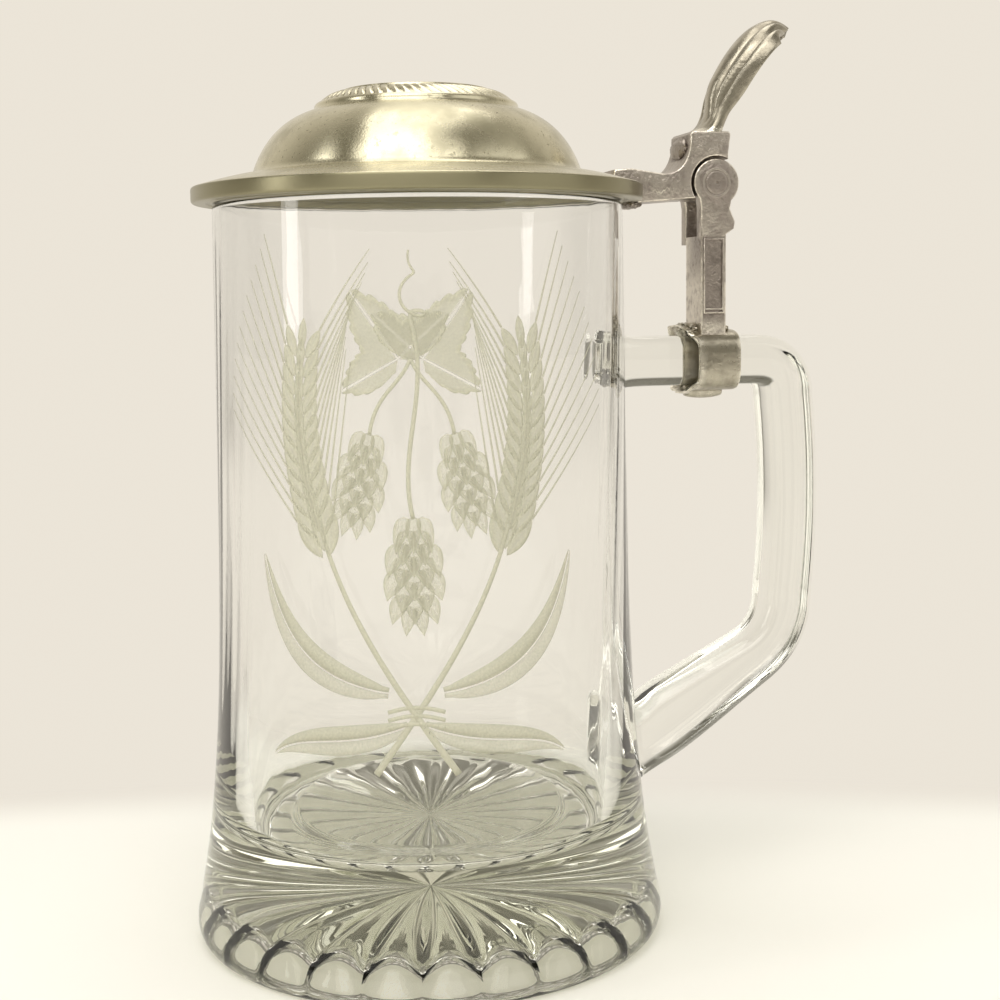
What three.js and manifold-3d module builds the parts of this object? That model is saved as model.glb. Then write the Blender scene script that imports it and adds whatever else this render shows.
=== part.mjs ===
// A lidded glass beer stein: a pressed glass mug with a pewter lid on a thumb-lift hinge.
// Millimetres, +Z up. The mug stands on z = 0 about the Z axis and its handle points along +X.
import * as THREE from "three";
import { mergeVertices } from "three/addons/utils/BufferGeometryUtils.js";
import Module from "manifold-3d";

const wasm = await Module();
wasm.setup();

// Fits
const SEAT_GAP = 0.3; // between two pieces that rest on or are fused to each other
const PIN_CLEARANCE = 0.1; // round the hinge pin
const CHEEK_GAP = 0.55; // from a post cheek to the cut in the strut round it
const KNUCKLE_GAP = 0.3; // on each side of the knuckle between the cheeks

// Glass body
const BODY_HEIGHT = 147;
const RIM_RADIUS = 40.5;
const WAIST_SPREAD = 1.1; // how much wider than the rim the body is at its waist
const WAIST_HEIGHT = 68;
const SHOULDER_SPREAD = 3.5;
const SHOULDER_HEIGHT = 29;
const FOOT_SPREAD = 7.4;
const FOOT_HEIGHT = 4.2;
const REST_INSET = 2.9; // how far inside the foot's edge the flat ring ends
const RIM_WALL = 1.5;
const WELL_DRAFT = 1.8; // how much narrower the well is above its floor than at the rim
const FLOOR_HEIGHT = 24.5; // raised disc in the middle of the well's floor
const FLOOR_DISC_RADIUS = 27.8;
const FLOOR_STEP = 2.1; // how far the disc stands above the trough round it
const FLOOR_STEP_WIDTH = 1.4;
const FLOOR_CORNER = 4.7;
const REST_WIDTH = 1.8; // flat ring that the mug stands on
const PUNT_EDGE_HEIGHT = 6; // hollow underside at its edge
const PUNT_EDGE_LEAN = 2.8; // how far that edge leans in
const PUNT_HEIGHT = 10.4; // hollow underside at its middle
const PUNT_FALL = 1.2; // how far its middle tangent falls on the way to the edge

// Glass handle
const HANDLE_TOP_Z = 115.2; // middle of the level top run
const HANDLE_WIDTH = 13;
const HANDLE_THICKNESS = 10.2;
const HANDLE_FOOT_THICKNESS = 14;
const HANDLE_FOOT_SHARE = 0.68; // share of the run after which it thickens to its foot
const HANDLE_SQUARENESS = 3.4; // exponent of the rounded section
const HANDLE_STRAIGHT = 4.2; // level run beyond the collar
const HANDLE_TOP_BEND = 8;
const HANDLE_LOW_BEND = 9;
const HANDLE_BEND_Z = 56; // where the upright run turns back to the mug
const HANDLE_BOW = 1.1; // how far the upright run bulges out
const HANDLE_FOOT_Z = 31; // where the slanted run meets the wall
const HANDLE_EMBED = 4; // length of each end inside the wall before it is cut to the wall

// Lid
const FLANGE_OVERHANG = 4;
const FLANGE_EDGE = 3.1;
const FLANGE_RISE = 2.9;
const FLANGE_ROUND = 0.5;
const SEAT_WIDTH = 7.5; // flat ring under the flange that covers the rim
const LEDGE_WIDTH = 12.2; // from the flange's edge to the dome's foot
const DOME_HEIGHT = 11.9;
const DOME_SHOULDER_DROP = 2.3; // where the dome's side and top tangents meet, below its top
const DOME_SHOULDER_INSET = 3.8; // the same point, inside the dome's foot
const CROWN_RADIUS = 20.3;
const LID_WALL = 1.8;
const MEDALLION_INSET = 0.2; // how far inside the crown's edge the medallion stands
const MEDALLION_EDGE = 1.2;
const MEDALLION_HEIGHT = 3.8;
const MEDALLION_SHOULDER = 6.1; // width of the rounded border round its face

// Hinge
const STRUT_REACH = 16; // from the flange's edge to the pin
const HINGE_RISE = 3.9; // from the flange's underside to the pin
const HINGE_WIDTH = 12.3;
const SLOT_WIDTH = 6.4;
const CHEEK_RADIUS = 4.8;
const KNUCKLE_RADIUS = 4.3;
const PIN_RADIUS = 2.4;
const PIN_PROUD = 0.25; // how far each peened end stands out
const POST_INNER = 3.3; // pin axis to the post's mug-side face
const POST_OUTER = 2.1; // pin axis to the post's outer face
const POST_FLARE = 1.4;
const SLOT_DEPTH = 10.7; // pin axis down to the slot's floor
const STOP_TOP = 5.4; // the stop bump behind the post, measured down from the pin
const STOP_PEAK = 8.4;
const STOP_BOTTOM = 10.4;
const STOP_DEPTH = 1.9;

// Strut and thumb lift
const STRUT_ABOVE = 1.9; // strut's top edge above the pin axis
const STRUT_BELOW = 3.1; // strut's lower edge below the pin axis
const STRUT_DROOP = 0.9; // how much lower that edge is at the lid
const STRUT_LAP = 6; // how far the strut lies over the flange
const STRUT_RAMP = 0.9; // rise of the strut's top edge towards the lid
const STRUT_WEB = 0.55; // metal beside the cut for the cheeks, on the mug side
const BLOCK_OUTER = 3; // pin axis to the thumb block's outer face
const BLOCK_TOP = 10.2; // pin axis up to the thumb block's top
const BLOCK_CHAMFER = 1; // how far the block's outer face leans in at its foot
const BLOCK_FILLET = 4.4;
const LEAF_RISE = 20.4;
const LEAF_REACH = 16.6;
const LEAF_BASE_WIDTH = 11.5;
const LEAF_WIDTH = 18;
const LEAF_THICKNESS = 3;
const LEAF_RELIEF = 0.35;
const LEAF_CROWN = 3;
const LEAF_CROWN_SHARE = 0.6; // share of the crown above the spine; the edges droop by the rest
const LEAF_DIP = 1.6; // how far the leaf's tip bends down from its highest line
const LEAF_LOBES = 3;
const LEAF_START = { reach: 0.18, rise: 0.36 }; // where the leaf's lower part heads, as shares
const LEAF_HEAD = 0.62; // share of its reach below which the leaf's highest line is drawn
const LEAF_SPREAD = { from: 0.1, crown: 0.4, to: 0.7 }; // where it starts to widen, is crowned, is widest
const LEAF_PETAL = { from: 0.72, length: 0.29 }; // share of its length that is the rounded end
const LEAF_FULLNESS = 0.6; // exponent of the leaf's rounded section
const LEAF_ROOT = { from: 0.05, to: 0.25 }; // share of its length over which the relief grows

// Collar
const COLLAR_WALL = 0.9;
const COLLAR_LENGTH = 9.4;
const COLLAR_SHIFT = 0.3; // collar's middle beyond the pin
const RIB_WIDTH = 3.4;
const RIB_HEIGHT = 1.8;

// Smoothness
const ROUND_STEPS = 72;
const SMALL_STEPS = 40;
const HANDLE_STEPS = 40;
const HANDLE_SIDES = 20;
const LEAF_STEPS = 20;
const LEAF_SIDES = 28;
const SIDE_STEPS = 18;
const DOME_STEPS = 10;
const CORNER_STEPS = 8;
const EDGE_STEPS = 4;

// Places that follow from the sizes
const waistRadius = RIM_RADIUS + WAIST_SPREAD;
const footRadius = RIM_RADIUS + FOOT_SPREAD;
const wellRadius = RIM_RADIUS - RIM_WALL - WELL_DRAFT;
const lidBottom = BODY_HEIGHT + SEAT_GAP;
const flangeRadius = RIM_RADIUS + FLANGE_OVERHANG;
const flangeTop = lidBottom + FLANGE_EDGE;
const domeRadius = flangeRadius - LEDGE_WIDTH;
const domeFoot = flangeTop + FLANGE_RISE;
const domeTop = domeFoot + DOME_HEIGHT;
const hingeX = flangeRadius + STRUT_REACH;
const hingeZ = lidBottom + HINGE_RISE;
const collarStart = hingeX + COLLAR_SHIFT - COLLAR_LENGTH / 2;
const collarEnd = collarStart + COLLAR_LENGTH;
const collarTop = HANDLE_TOP_Z + HANDLE_THICKNESS / 2 + SEAT_GAP + COLLAR_WALL;
const handleX = collarEnd + HANDLE_STRAIGHT + HANDLE_TOP_BEND;

const GLASS = { color: 0xdfe3d4, roughness: 0.05, metalness: 0 };
const PEWTER = { color: 0xb5ad94, roughness: 0.32, metalness: 0.9 };
const CAST_PEWTER = { color: 0xa0948a, roughness: 0.55, metalness: 0.85 };

/** Keeps only a geometry's positions and merges its shared vertices. */
function welded(geometry) {
  geometry.deleteAttribute("normal");
  geometry.deleteAttribute("uv");
  return mergeVertices(geometry, 1e-4);
}

/** Makes a manifold solid from a closed geometry. */
function solid(geometry) {
  const clean = welded(geometry);
  return new wasm.Manifold(
    new wasm.Mesh({
      numProp: 3,
      vertProperties: new Float32Array(clean.attributes.position.array),
      triVerts: new Uint32Array(clean.index.array),
    }),
  );
}

/** Makes a geometry from a manifold solid. */
function geometryOf(body) {
  const { vertProperties, triVerts } = body.getMesh();
  const geometry = new THREE.BufferGeometry();
  geometry.setAttribute("position", new THREE.BufferAttribute(vertProperties, 3));
  geometry.setIndex(new THREE.BufferAttribute(triVerts, 1));
  return geometry;
}

/** Makes a named mesh with its own material. */
function piece(name, geometry, look) {
  geometry.computeVertexNormals();
  const mesh = new THREE.Mesh(geometry, new THREE.MeshStandardMaterial(look));
  mesh.name = name;
  return mesh;
}

/** Turns an outline of [radius, height] points about the Z axis. */
function turned(points) {
  const profile = points.map(([radius, height]) => new THREE.Vector2(radius, height));
  return welded(new THREE.LatheGeometry(profile, ROUND_STEPS).rotateX(Math.PI / 2));
}

/** Extrudes a side outline, drawn in X and Z, over a width centred on Y = 0. */
function plate(outline, width) {
  const options = { depth: width, bevelEnabled: false, curveSegments: DOME_STEPS };
  const geometry = new THREE.ExtrudeGeometry(outline, options);
  return geometry.rotateX(Math.PI / 2).translate(0, width / 2, 0);
}

/** Makes a round bar along Y at the hinge axis, from one Y to another. */
function hingeBar(radius, fromY, toY) {
  const bar = new THREE.CylinderGeometry(radius, radius, toY - fromY, SMALL_STEPS);
  return bar.translate(hingeX, (fromY + toY) / 2, hingeZ);
}

/** Skins a row of equal rings and closes both ends, in a geometry. */
function loft(rings) {
  const sides = rings[0].length;
  const centre = (ring) => ring.reduce((sum, p) => sum.add(p), new THREE.Vector3()).divideScalar(sides);
  const points = [...rings.flat(), centre(rings[0]), centre(rings.at(-1))];
  const [startCap, endCap] = [points.length - 2, points.length - 1];
  const lastRing = (rings.length - 1) * sides;
  const triangles = [];
  for (let side = 0; side < sides; side++) {
    const next = (side + 1) % sides;
    for (let start = 0; start < lastRing; start += sides) {
      triangles.push(start + side, start + next, start + sides + next);
      triangles.push(start + side, start + sides + next, start + sides + side);
    }
    triangles.push(startCap, next, side);
    triangles.push(endCap, lastRing + side, lastRing + next);
  }
  const geometry = new THREE.BufferGeometry().setFromPoints(points);
  geometry.setIndex(triangles);
  return geometry;
}

/** Gives the points of a rounded rectangle, as a superellipse of half sizes a and b. */
function roundedSection(a, b, steps) {
  const squared = (value) => Math.sign(value) * Math.abs(value) ** (2 / HANDLE_SQUARENESS);
  return Array.from({ length: steps }, (_, step) => {
    const angle = (2 * Math.PI * step) / steps;
    return new THREE.Vector2(a * squared(Math.cos(angle)), b * squared(Math.sin(angle)));
  });
}

/** Lays rings of a section along a curve in the XZ plane; section(u) gives [y, across] points. */
function ringsAlong(curve, steps, section) {
  const sideways = new THREE.Vector3(0, 1, 0);
  return Array.from({ length: steps + 1 }, (_, step) => {
    const u = step / steps;
    const middle = curve.getPointAt(u);
    const across = curve.getTangentAt(u).cross(sideways).normalize();
    const place = ({ x, y }) => middle.clone().addScaledVector(sideways, x).addScaledVector(across, y);
    return section(u).map(place);
  });
}

/** Gives a curve's points as [radius, height] pairs. */
function pairs(curve, steps) {
  return curve.getPoints(steps).map(({ x, y }) => [x, y]);
}

/** Gives the outer profile of the glass body, from its foot up to the rim, grown outwards. */
function bodyOutside(growth) {
  const side = new THREE.SplineCurve([
    new THREE.Vector2(footRadius + growth, FOOT_HEIGHT),
    new THREE.Vector2(RIM_RADIUS + SHOULDER_SPREAD + growth, SHOULDER_HEIGHT),
    new THREE.Vector2(waistRadius + growth, WAIST_HEIGHT),
    new THREE.Vector2(RIM_RADIUS + growth, BODY_HEIGHT),
  ]);
  const edge = new THREE.QuadraticBezierCurve(
    new THREE.Vector2(footRadius - REST_INSET + growth, -growth),
    new THREE.Vector2(footRadius + growth, -growth),
    new THREE.Vector2(footRadius + growth, FOOT_HEIGHT),
  );
  return [...pairs(edge, EDGE_STEPS), ...pairs(side, SIDE_STEPS).slice(1)];
}

/** Gives the hollow underside's profile, from its middle out to the ring that the mug stands on. */
function bodyUnderside() {
  const rest = footRadius - REST_INSET - REST_WIDTH;
  const edge = rest - PUNT_EDGE_LEAN;
  const vault = new THREE.QuadraticBezierCurve(
    new THREE.Vector2(0, PUNT_HEIGHT),
    new THREE.Vector2(edge / 2, PUNT_HEIGHT - PUNT_FALL),
    new THREE.Vector2(edge, PUNT_EDGE_HEIGHT),
  );
  return [...pairs(vault, CORNER_STEPS), [rest, 0]];
}

function glassBody() {
  const trough = FLOOR_HEIGHT - FLOOR_STEP;
  const corner = new THREE.EllipseCurve(
    wellRadius - FLOOR_CORNER,
    trough + FLOOR_CORNER,
    FLOOR_CORNER,
    FLOOR_CORNER,
    0,
    -Math.PI / 2,
    true,
  );
  const step = [[FLOOR_DISC_RADIUS + FLOOR_STEP_WIDTH, trough], [FLOOR_DISC_RADIUS, FLOOR_HEIGHT]];
  const well = [[RIM_RADIUS - RIM_WALL, BODY_HEIGHT], ...pairs(corner, CORNER_STEPS), ...step];
  return turned([...bodyUnderside(), ...bodyOutside(0), ...well, [0, FLOOR_HEIGHT]]);
}

/** Gives the handle's middle line, from inside the wall at the top to inside the wall at its foot. */
function handleLine() {
  const at = (x, z) => new THREE.Vector3(x, 0, z);
  const root = at(RIM_RADIUS - HANDLE_EMBED, HANDLE_TOP_Z);
  const topCorner = at(handleX, HANDLE_TOP_Z);
  const lowCorner = at(handleX, HANDLE_BEND_Z);
  const foot = at(waistRadius - HANDLE_EMBED, HANDLE_FOOT_Z);
  const topIn = at(handleX - HANDLE_TOP_BEND, HANDLE_TOP_Z);
  const topOut = at(handleX, HANDLE_TOP_Z - HANDLE_TOP_BEND);
  const lowIn = at(handleX, HANDLE_BEND_Z + HANDLE_LOW_BEND);
  const lowOut = lowCorner.clone().lerp(foot, HANDLE_LOW_BEND / lowCorner.distanceTo(foot));
  const bow = topOut.clone().lerp(lowIn, 0.5);
  bow.x += 2 * HANDLE_BOW;
  const line = new THREE.CurvePath();
  line.add(new THREE.LineCurve3(root, topIn));
  line.add(new THREE.QuadraticBezierCurve3(topIn, topCorner, topOut));
  line.add(new THREE.QuadraticBezierCurve3(topOut, bow, lowIn));
  line.add(new THREE.QuadraticBezierCurve3(lowIn, lowCorner, lowOut));
  line.add(new THREE.LineCurve3(lowOut, foot));
  return line;
}

function glassHandle() {
  const footSpread = HANDLE_FOOT_THICKNESS - HANDLE_THICKNESS;
  const section = (u) => {
    const growth = THREE.MathUtils.smoothstep(u, HANDLE_FOOT_SHARE, 1);
    const thickness = HANDLE_THICKNESS + footSpread * growth;
    return roundedSection(HANDLE_WIDTH / 2, thickness / 2, HANDLE_SIDES);
  };
  const bar = solid(loft(ringsAlong(handleLine(), HANDLE_STEPS, section)));
  const wall = solid(turned([[0, -SEAT_GAP], ...bodyOutside(SEAT_GAP), [0, BODY_HEIGHT]]));
  return geometryOf(bar.subtract(wall));
}

/** Gives the dome's side as a curve from its foot up to the crown's edge, grown outwards. */
function domeCurve(growth) {
  return new THREE.QuadraticBezierCurve(
    new THREE.Vector2(domeRadius + growth, domeFoot),
    new THREE.Vector2(domeRadius - DOME_SHOULDER_INSET + growth, domeTop - DOME_SHOULDER_DROP + growth),
    new THREE.Vector2(CROWN_RADIUS, domeTop + growth),
  );
}

/** Gives the lid's outer profile, from the flange's lower edge up to the crown, grown outwards. */
function lidOutside(growth) {
  const edge = flangeRadius + growth;
  return [
    [edge - FLANGE_ROUND, lidBottom - growth],
    [edge, lidBottom + FLANGE_ROUND - growth],
    [edge, flangeTop - FLANGE_ROUND + growth],
    [edge - FLANGE_ROUND, flangeTop + growth],
    ...pairs(domeCurve(growth), DOME_STEPS),
    [0, domeTop + growth],
  ];
}

function lidShell() {
  const hollow = pairs(domeCurve(-LID_WALL), CORNER_STEPS).reverse();
  const seat = [flangeRadius - SEAT_WIDTH, lidBottom];
  return turned([[0, domeTop - LID_WALL], ...hollow, seat, ...lidOutside(0)]);
}

function lidMedallion() {
  const bottom = domeTop + SEAT_GAP;
  const radius = CROWN_RADIUS - MEDALLION_INSET;
  const shoulder = new THREE.EllipseCurve(
    radius - MEDALLION_SHOULDER,
    bottom + MEDALLION_EDGE,
    MEDALLION_SHOULDER,
    MEDALLION_HEIGHT - MEDALLION_EDGE,
    0,
    Math.PI / 2,
  );
  const face = [...pairs(shoulder, CORNER_STEPS), [0, bottom + MEDALLION_HEIGHT]];
  return turned([[0, bottom], [radius, bottom], ...face]);
}

function lidStrut() {
  const [x, z] = [hingeX, hingeZ];
  const recess = CHEEK_RADIUS + CHEEK_GAP;
  const top = z + STRUT_ABOVE;
  const blockFoot = x - recess - STRUT_WEB;
  const outline = new THREE.Shape();
  outline.moveTo(flangeRadius, z - STRUT_BELOW - STRUT_DROOP);
  outline.lineTo(flangeRadius - STRUT_LAP, flangeTop);
  outline.lineTo(flangeRadius - STRUT_LAP, top + STRUT_RAMP);
  outline.lineTo(blockFoot - BLOCK_FILLET, top);
  outline.quadraticCurveTo(blockFoot, top, blockFoot, top + BLOCK_FILLET);
  outline.lineTo(blockFoot, z + BLOCK_TOP);
  outline.lineTo(x + BLOCK_OUTER, z + BLOCK_TOP);
  outline.lineTo(x + BLOCK_OUTER - BLOCK_CHAMFER, z + recess);
  outline.lineTo(x, z);
  outline.lineTo(blockFoot, z - STRUT_BELOW);
  const outside = HINGE_WIDTH / 2 + SEAT_GAP;
  const knuckle = SLOT_WIDTH / 2 - KNUCKLE_GAP;
  const bar = solid(plate(outline, HINGE_WIDTH))
    .subtract(solid(hingeBar(recess, knuckle, outside)))
    .subtract(solid(hingeBar(recess, -outside, -knuckle)))
    .add(solid(hingeBar(KNUCKLE_RADIUS, -knuckle, knuckle)))
    .subtract(solid(hingeBar(PIN_RADIUS + PIN_CLEARANCE, -outside, outside)))
    .subtract(solid(turned([[0, lidBottom - SEAT_GAP], ...lidOutside(SEAT_GAP)])));
  return geometryOf(bar);
}

function thumbLift() {
  const [x, z] = [hingeX, hingeZ + BLOCK_TOP + SEAT_GAP];
  const spine = new THREE.CubicBezierCurve3(
    new THREE.Vector3(x, 0, z - LEAF_THICKNESS / 2),
    new THREE.Vector3(x + LEAF_START.reach * LEAF_REACH, 0, z + LEAF_START.rise * LEAF_RISE),
    new THREE.Vector3(x + LEAF_HEAD * LEAF_REACH, 0, z + LEAF_RISE + LEAF_DIP),
    new THREE.Vector3(x + LEAF_REACH, 0, z + LEAF_RISE - LEAF_DIP),
  );
  const { smoothstep, clamp } = THREE.MathUtils;
  const section = (u) => {
    const widening = smoothstep(u, LEAF_SPREAD.from, LEAF_SPREAD.to);
    const spread = LEAF_BASE_WIDTH + (LEAF_WIDTH - LEAF_BASE_WIDTH) * widening;
    const petal = Math.sqrt(1 - clamp((u - LEAF_PETAL.from) / LEAF_PETAL.length, 0, 1) ** 2);
    const half = (spread * petal) / 2;
    return Array.from({ length: LEAF_SIDES }, (_, side) => {
      const angle = (2 * Math.PI * side) / LEAF_SIDES;
      const share = Math.cos(angle);
      const relief = LEAF_RELIEF * Math.cos(2 * Math.PI * (LEAF_LOBES / 2) * share) * petal;
      const arch = LEAF_CROWN * (LEAF_CROWN_SHARE - share * share);
      const crown = arch * smoothstep(u, LEAF_SPREAD.from, LEAF_SPREAD.crown);
      const round = Math.sign(Math.sin(angle)) * Math.abs(Math.sin(angle)) ** LEAF_FULLNESS;
      const lift = smoothstep(u, LEAF_ROOT.from, LEAF_ROOT.to) * (relief + crown);
      return new THREE.Vector2(half * share, (LEAF_THICKNESS / 2) * round + lift);
    });
  };
  const trim = new THREE.BoxGeometry(2 * LEAF_REACH, 2 * LEAF_WIDTH, 2 * LEAF_THICKNESS);
  trim.translate(x, 0, z - LEAF_THICKNESS);
  return geometryOf(solid(loft(ringsAlong(spine, LEAF_STEPS, section))).subtract(solid(trim)));
}

function hingePost() {
  const [x, z] = [hingeX, hingeZ];
  const [inner, outer] = [x - POST_INNER, x + POST_OUTER];
  const foot = collarTop + SEAT_GAP;
  const outline = new THREE.Shape();
  outline.moveTo(inner - POST_FLARE, foot);
  outline.lineTo(inner, foot + POST_FLARE);
  outline.lineTo(inner, z);
  outline.lineTo(outer, z);
  outline.lineTo(outer, z - STOP_TOP);
  outline.lineTo(outer + STOP_DEPTH, z - STOP_PEAK);
  outline.lineTo(outer, z - STOP_BOTTOM);
  outline.lineTo(outer, foot + POST_FLARE);
  outline.lineTo(outer + POST_FLARE, foot);
  const slot = new THREE.BoxGeometry(3 * CHEEK_RADIUS, SLOT_WIDTH, SLOT_DEPTH + 2 * CHEEK_RADIUS);
  slot.translate(x, 0, z + CHEEK_RADIUS - SLOT_DEPTH / 2);
  const outside = HINGE_WIDTH / 2;
  const post = solid(plate(outline, HINGE_WIDTH))
    .add(solid(hingeBar(CHEEK_RADIUS, -outside, outside)))
    .subtract(solid(slot))
    .subtract(solid(hingeBar(PIN_RADIUS + PIN_CLEARANCE, -2 * outside, 2 * outside)));
  return geometryOf(post);
}

function handleCollar() {
  const [a, b] = [HANDLE_WIDTH / 2 + SEAT_GAP, HANDLE_THICKNESS / 2 + SEAT_GAP];
  const outline = new THREE.Shape(roundedSection(a + COLLAR_WALL, b + COLLAR_WALL, SMALL_STEPS));
  outline.holes.push(new THREE.Path(roundedSection(a, b, SMALL_STEPS)));
  const band = new THREE.ExtrudeGeometry(outline, { depth: COLLAR_LENGTH, bevelEnabled: false });
  band.rotateX(Math.PI / 2).rotateZ(Math.PI / 2).translate(collarStart, 0, HANDLE_TOP_Z);
  const rib = new THREE.BoxGeometry(COLLAR_LENGTH, RIB_WIDTH, RIB_HEIGHT + COLLAR_WALL);
  const ribZ = HANDLE_TOP_Z - b - (RIB_HEIGHT + COLLAR_WALL) / 2;
  rib.translate(collarStart + COLLAR_LENGTH / 2, 0, ribZ);
  return geometryOf(solid(band).add(solid(rib)));
}

function hingePin() {
  const half = HINGE_WIDTH / 2 + PIN_PROUD;
  return hingeBar(PIN_RADIUS, -half, half);
}

const mug = new THREE.Group();
mug.add(piece("glass_body", glassBody(), GLASS));
mug.add(piece("glass_handle", glassHandle(), GLASS));
mug.add(piece("handle_collar", handleCollar(), PEWTER));
mug.add(piece("hinge_post", hingePost(), CAST_PEWTER));
mug.add(piece("hinge_pin", hingePin(), CAST_PEWTER));

const lid = new THREE.Group();
lid.add(piece("lid_shell", lidShell(), PEWTER));
lid.add(piece("lid_medallion", lidMedallion(), PEWTER));
lid.add(piece("lid_strut", lidStrut(), CAST_PEWTER));
lid.add(piece("thumb_lift", thumbLift(), PEWTER));

const stein = new THREE.Group();
stein.add(mug, lid);

export default stein;
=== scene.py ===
"""Looks of a lidded glass beer stein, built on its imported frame.

The frame is in metres with +Z up. The mug stands on z = 0 about the Z axis and its handle points
along +X. The pieces' sizes and the camera's place are millimetres, and a draft turns a piece's into
metres when it makes a mesh. The studio's table, lamps and fades are in metres.
"""

import logging
import math
from dataclasses import dataclass, field
from enum import Enum
from typing import Any

import bmesh
import bpy
import numpy as np
from mathutils import Matrix, Vector


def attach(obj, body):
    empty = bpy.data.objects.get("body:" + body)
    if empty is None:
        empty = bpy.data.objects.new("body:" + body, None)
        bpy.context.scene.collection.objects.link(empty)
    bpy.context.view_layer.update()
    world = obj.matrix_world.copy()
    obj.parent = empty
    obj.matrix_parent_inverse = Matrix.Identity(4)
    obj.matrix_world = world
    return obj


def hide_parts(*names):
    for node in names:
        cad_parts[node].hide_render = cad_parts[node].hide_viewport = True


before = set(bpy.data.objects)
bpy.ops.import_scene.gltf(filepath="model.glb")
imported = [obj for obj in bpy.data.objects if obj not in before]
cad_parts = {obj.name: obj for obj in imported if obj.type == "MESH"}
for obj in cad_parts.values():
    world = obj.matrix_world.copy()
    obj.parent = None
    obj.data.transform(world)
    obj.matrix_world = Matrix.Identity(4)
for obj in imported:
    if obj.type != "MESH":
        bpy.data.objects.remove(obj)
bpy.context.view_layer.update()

MM = 0.001
TAU = 2 * math.pi
TINY = 1e-9
WELD = 2e-7
SLIVER = 1e-8
HINGE = np.array([60.5, 0.0, 151.2])
Array = np.ndarray
Triple = tuple[float, float, float]
Colour = Triple
log = logging.getLogger("stein")


class Body(Enum):
    """The two bodies that the hinge joins."""

    MUG = "mug"
    LID = "lid"


class Slot(Enum):
    """The record's material slots."""

    GLASS = "clear_glass"
    SATIN = "satin_pewter"
    CAST = "cast_pewter"


def smooth(value: Array | float, low: float, high: float) -> Array:
    """Rise from 0 at low to 1 at high along 3t^2 - 2t^3.

    Args:
        value: Numbers to place on the rise.
        low: Where the rise starts.
        high: Where it ends.

    Returns:
        The share reached by each number.
    """
    t = np.clip((np.asarray(value, float) - low) / (high - low), 0, 1)
    return t * t * (3 - 2 * t)


def spline(points: Array, steps: int) -> Array:
    """Sample a uniform Catmull-Rom curve through points, with its end points doubled.

    Args:
        points: Control points, one per row.
        steps: Number of samples.

    Returns:
        The samples, one per row.
    """
    padded = np.vstack([points[:1], points, points[-1:]])
    t = np.linspace(0, len(points) - 1, steps)
    i = np.minimum(t.astype(int), len(points) - 2)
    f = (t - i)[:, None]
    a, b, c, d = (padded[i + k] for k in range(4))
    square, cube = 2 * a - 5 * b + 4 * c - d, 3 * b - a - 3 * c + d
    return 0.5 * (2 * b + (c - a) * f + square * f**2 + cube * f**3)


def bezier(points: Array, steps: int) -> Array:
    """Sample a Bezier curve of any degree as the sum of its Bernstein weights times its points.

    Args:
        points: Control points, one per row.
        steps: Number of samples.

    Returns:
        The samples, one per row.
    """
    points = np.asarray(points, float)
    degree = len(points) - 1
    t = np.linspace(0, 1, steps)[:, None]
    powers = np.arange(degree + 1)
    counts = np.array([math.comb(degree, k) for k in range(degree + 1)])
    return (counts * t**powers * (1 - t) ** (degree - powers)) @ points


def even(path: Array, steps: int) -> Array:
    """Resample a path so that its points are the same length apart.

    Args:
        path: Points along the path, one per row.
        steps: Number of samples.

    Returns:
        The samples, one per row.
    """
    length = np.concatenate([[0], np.cumsum(np.linalg.norm(np.diff(path, axis=0), axis=1))])
    at = np.linspace(0, length[-1], steps)
    return np.stack([np.interp(at, length, path[:, k]) for k in range(path.shape[1])], axis=1)


def ripple(phase: Array, seed: int, waves: int = 6) -> Array:
    """Add up sine waves of whole frequencies and seeded phases into a noise of height about 1.

    Args:
        phase: Angles in radians.
        seed: Seed of the phases.
        waves: Number of waves, of frequency 1, 2, 4, 7 and on.

    Returns:
        The noise at each angle.
    """
    rng = np.random.default_rng(seed)
    steps = 1 + np.cumsum(np.arange(waves))
    shift = rng.uniform(0, TAU, waves)
    height = rng.uniform(0.4, 1, waves) / np.sqrt(waves)
    return np.sum(height * np.sin(np.asarray(phase)[..., None] * steps + shift), axis=-1)


def full_turn(columns: int) -> Array:
    """Give evenly spaced angles round a circle."""
    return np.linspace(0, TAU, columns, endpoint=False)


def around(radius: Array, angle: Array, height: Array | float) -> Array:
    """Place points about the Z axis, from radius times cosine, radius times sine, and height."""
    return np.stack(np.broadcast_arrays(radius * np.cos(angle), radius * np.sin(angle), height), -1)


def pin_arc(radius: float, angle: Array) -> Array:
    """Give points in X and Z on a circle about the hinge axis."""
    return np.stack([HINGE[0] + radius * np.cos(angle), HINGE[2] + radius * np.sin(angle)], 1)


def along(path: Array) -> tuple[Array, Array]:
    """Give a flat path's unit direction at each point, and the unit normal on its left.

    Args:
        path: Points in the plane, one per row.

    Returns:
        Directions and normals, one per row.
    """
    run = np.gradient(path, axis=0)
    run /= np.linalg.norm(run, axis=1, keepdims=True)
    return run, np.stack([-run[:, 1], run[:, 0]], 1)


def rounded(corners: Array, radii: Array | float, steps: int = 5) -> Array:
    """Round a closed polygon: each corner becomes a short quadratic Bezier between its two edges.

    Args:
        corners: Corner points, one per row.
        radii: Length that each rounding takes from both edges.
        steps: Samples in each rounding.

    Returns:
        The outline's points, one per row.
    """
    corners = np.asarray(corners, float)
    reach = np.broadcast_to(np.asarray(radii, float), len(corners))[:, None]
    before, after = np.roll(corners, 1, 0) - corners, np.roll(corners, -1, 0) - corners
    start = corners + before / np.linalg.norm(before, axis=1, keepdims=True) * reach
    end = corners + after / np.linalg.norm(after, axis=1, keepdims=True) * reach
    t = np.linspace(0, 1, steps)[None, :, None]
    bend = (1 - t) ** 2 * start[:, None] + 2 * t * (1 - t) * corners[:, None] + t**2 * end[:, None]
    return bend.reshape(-1, 2)


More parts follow.
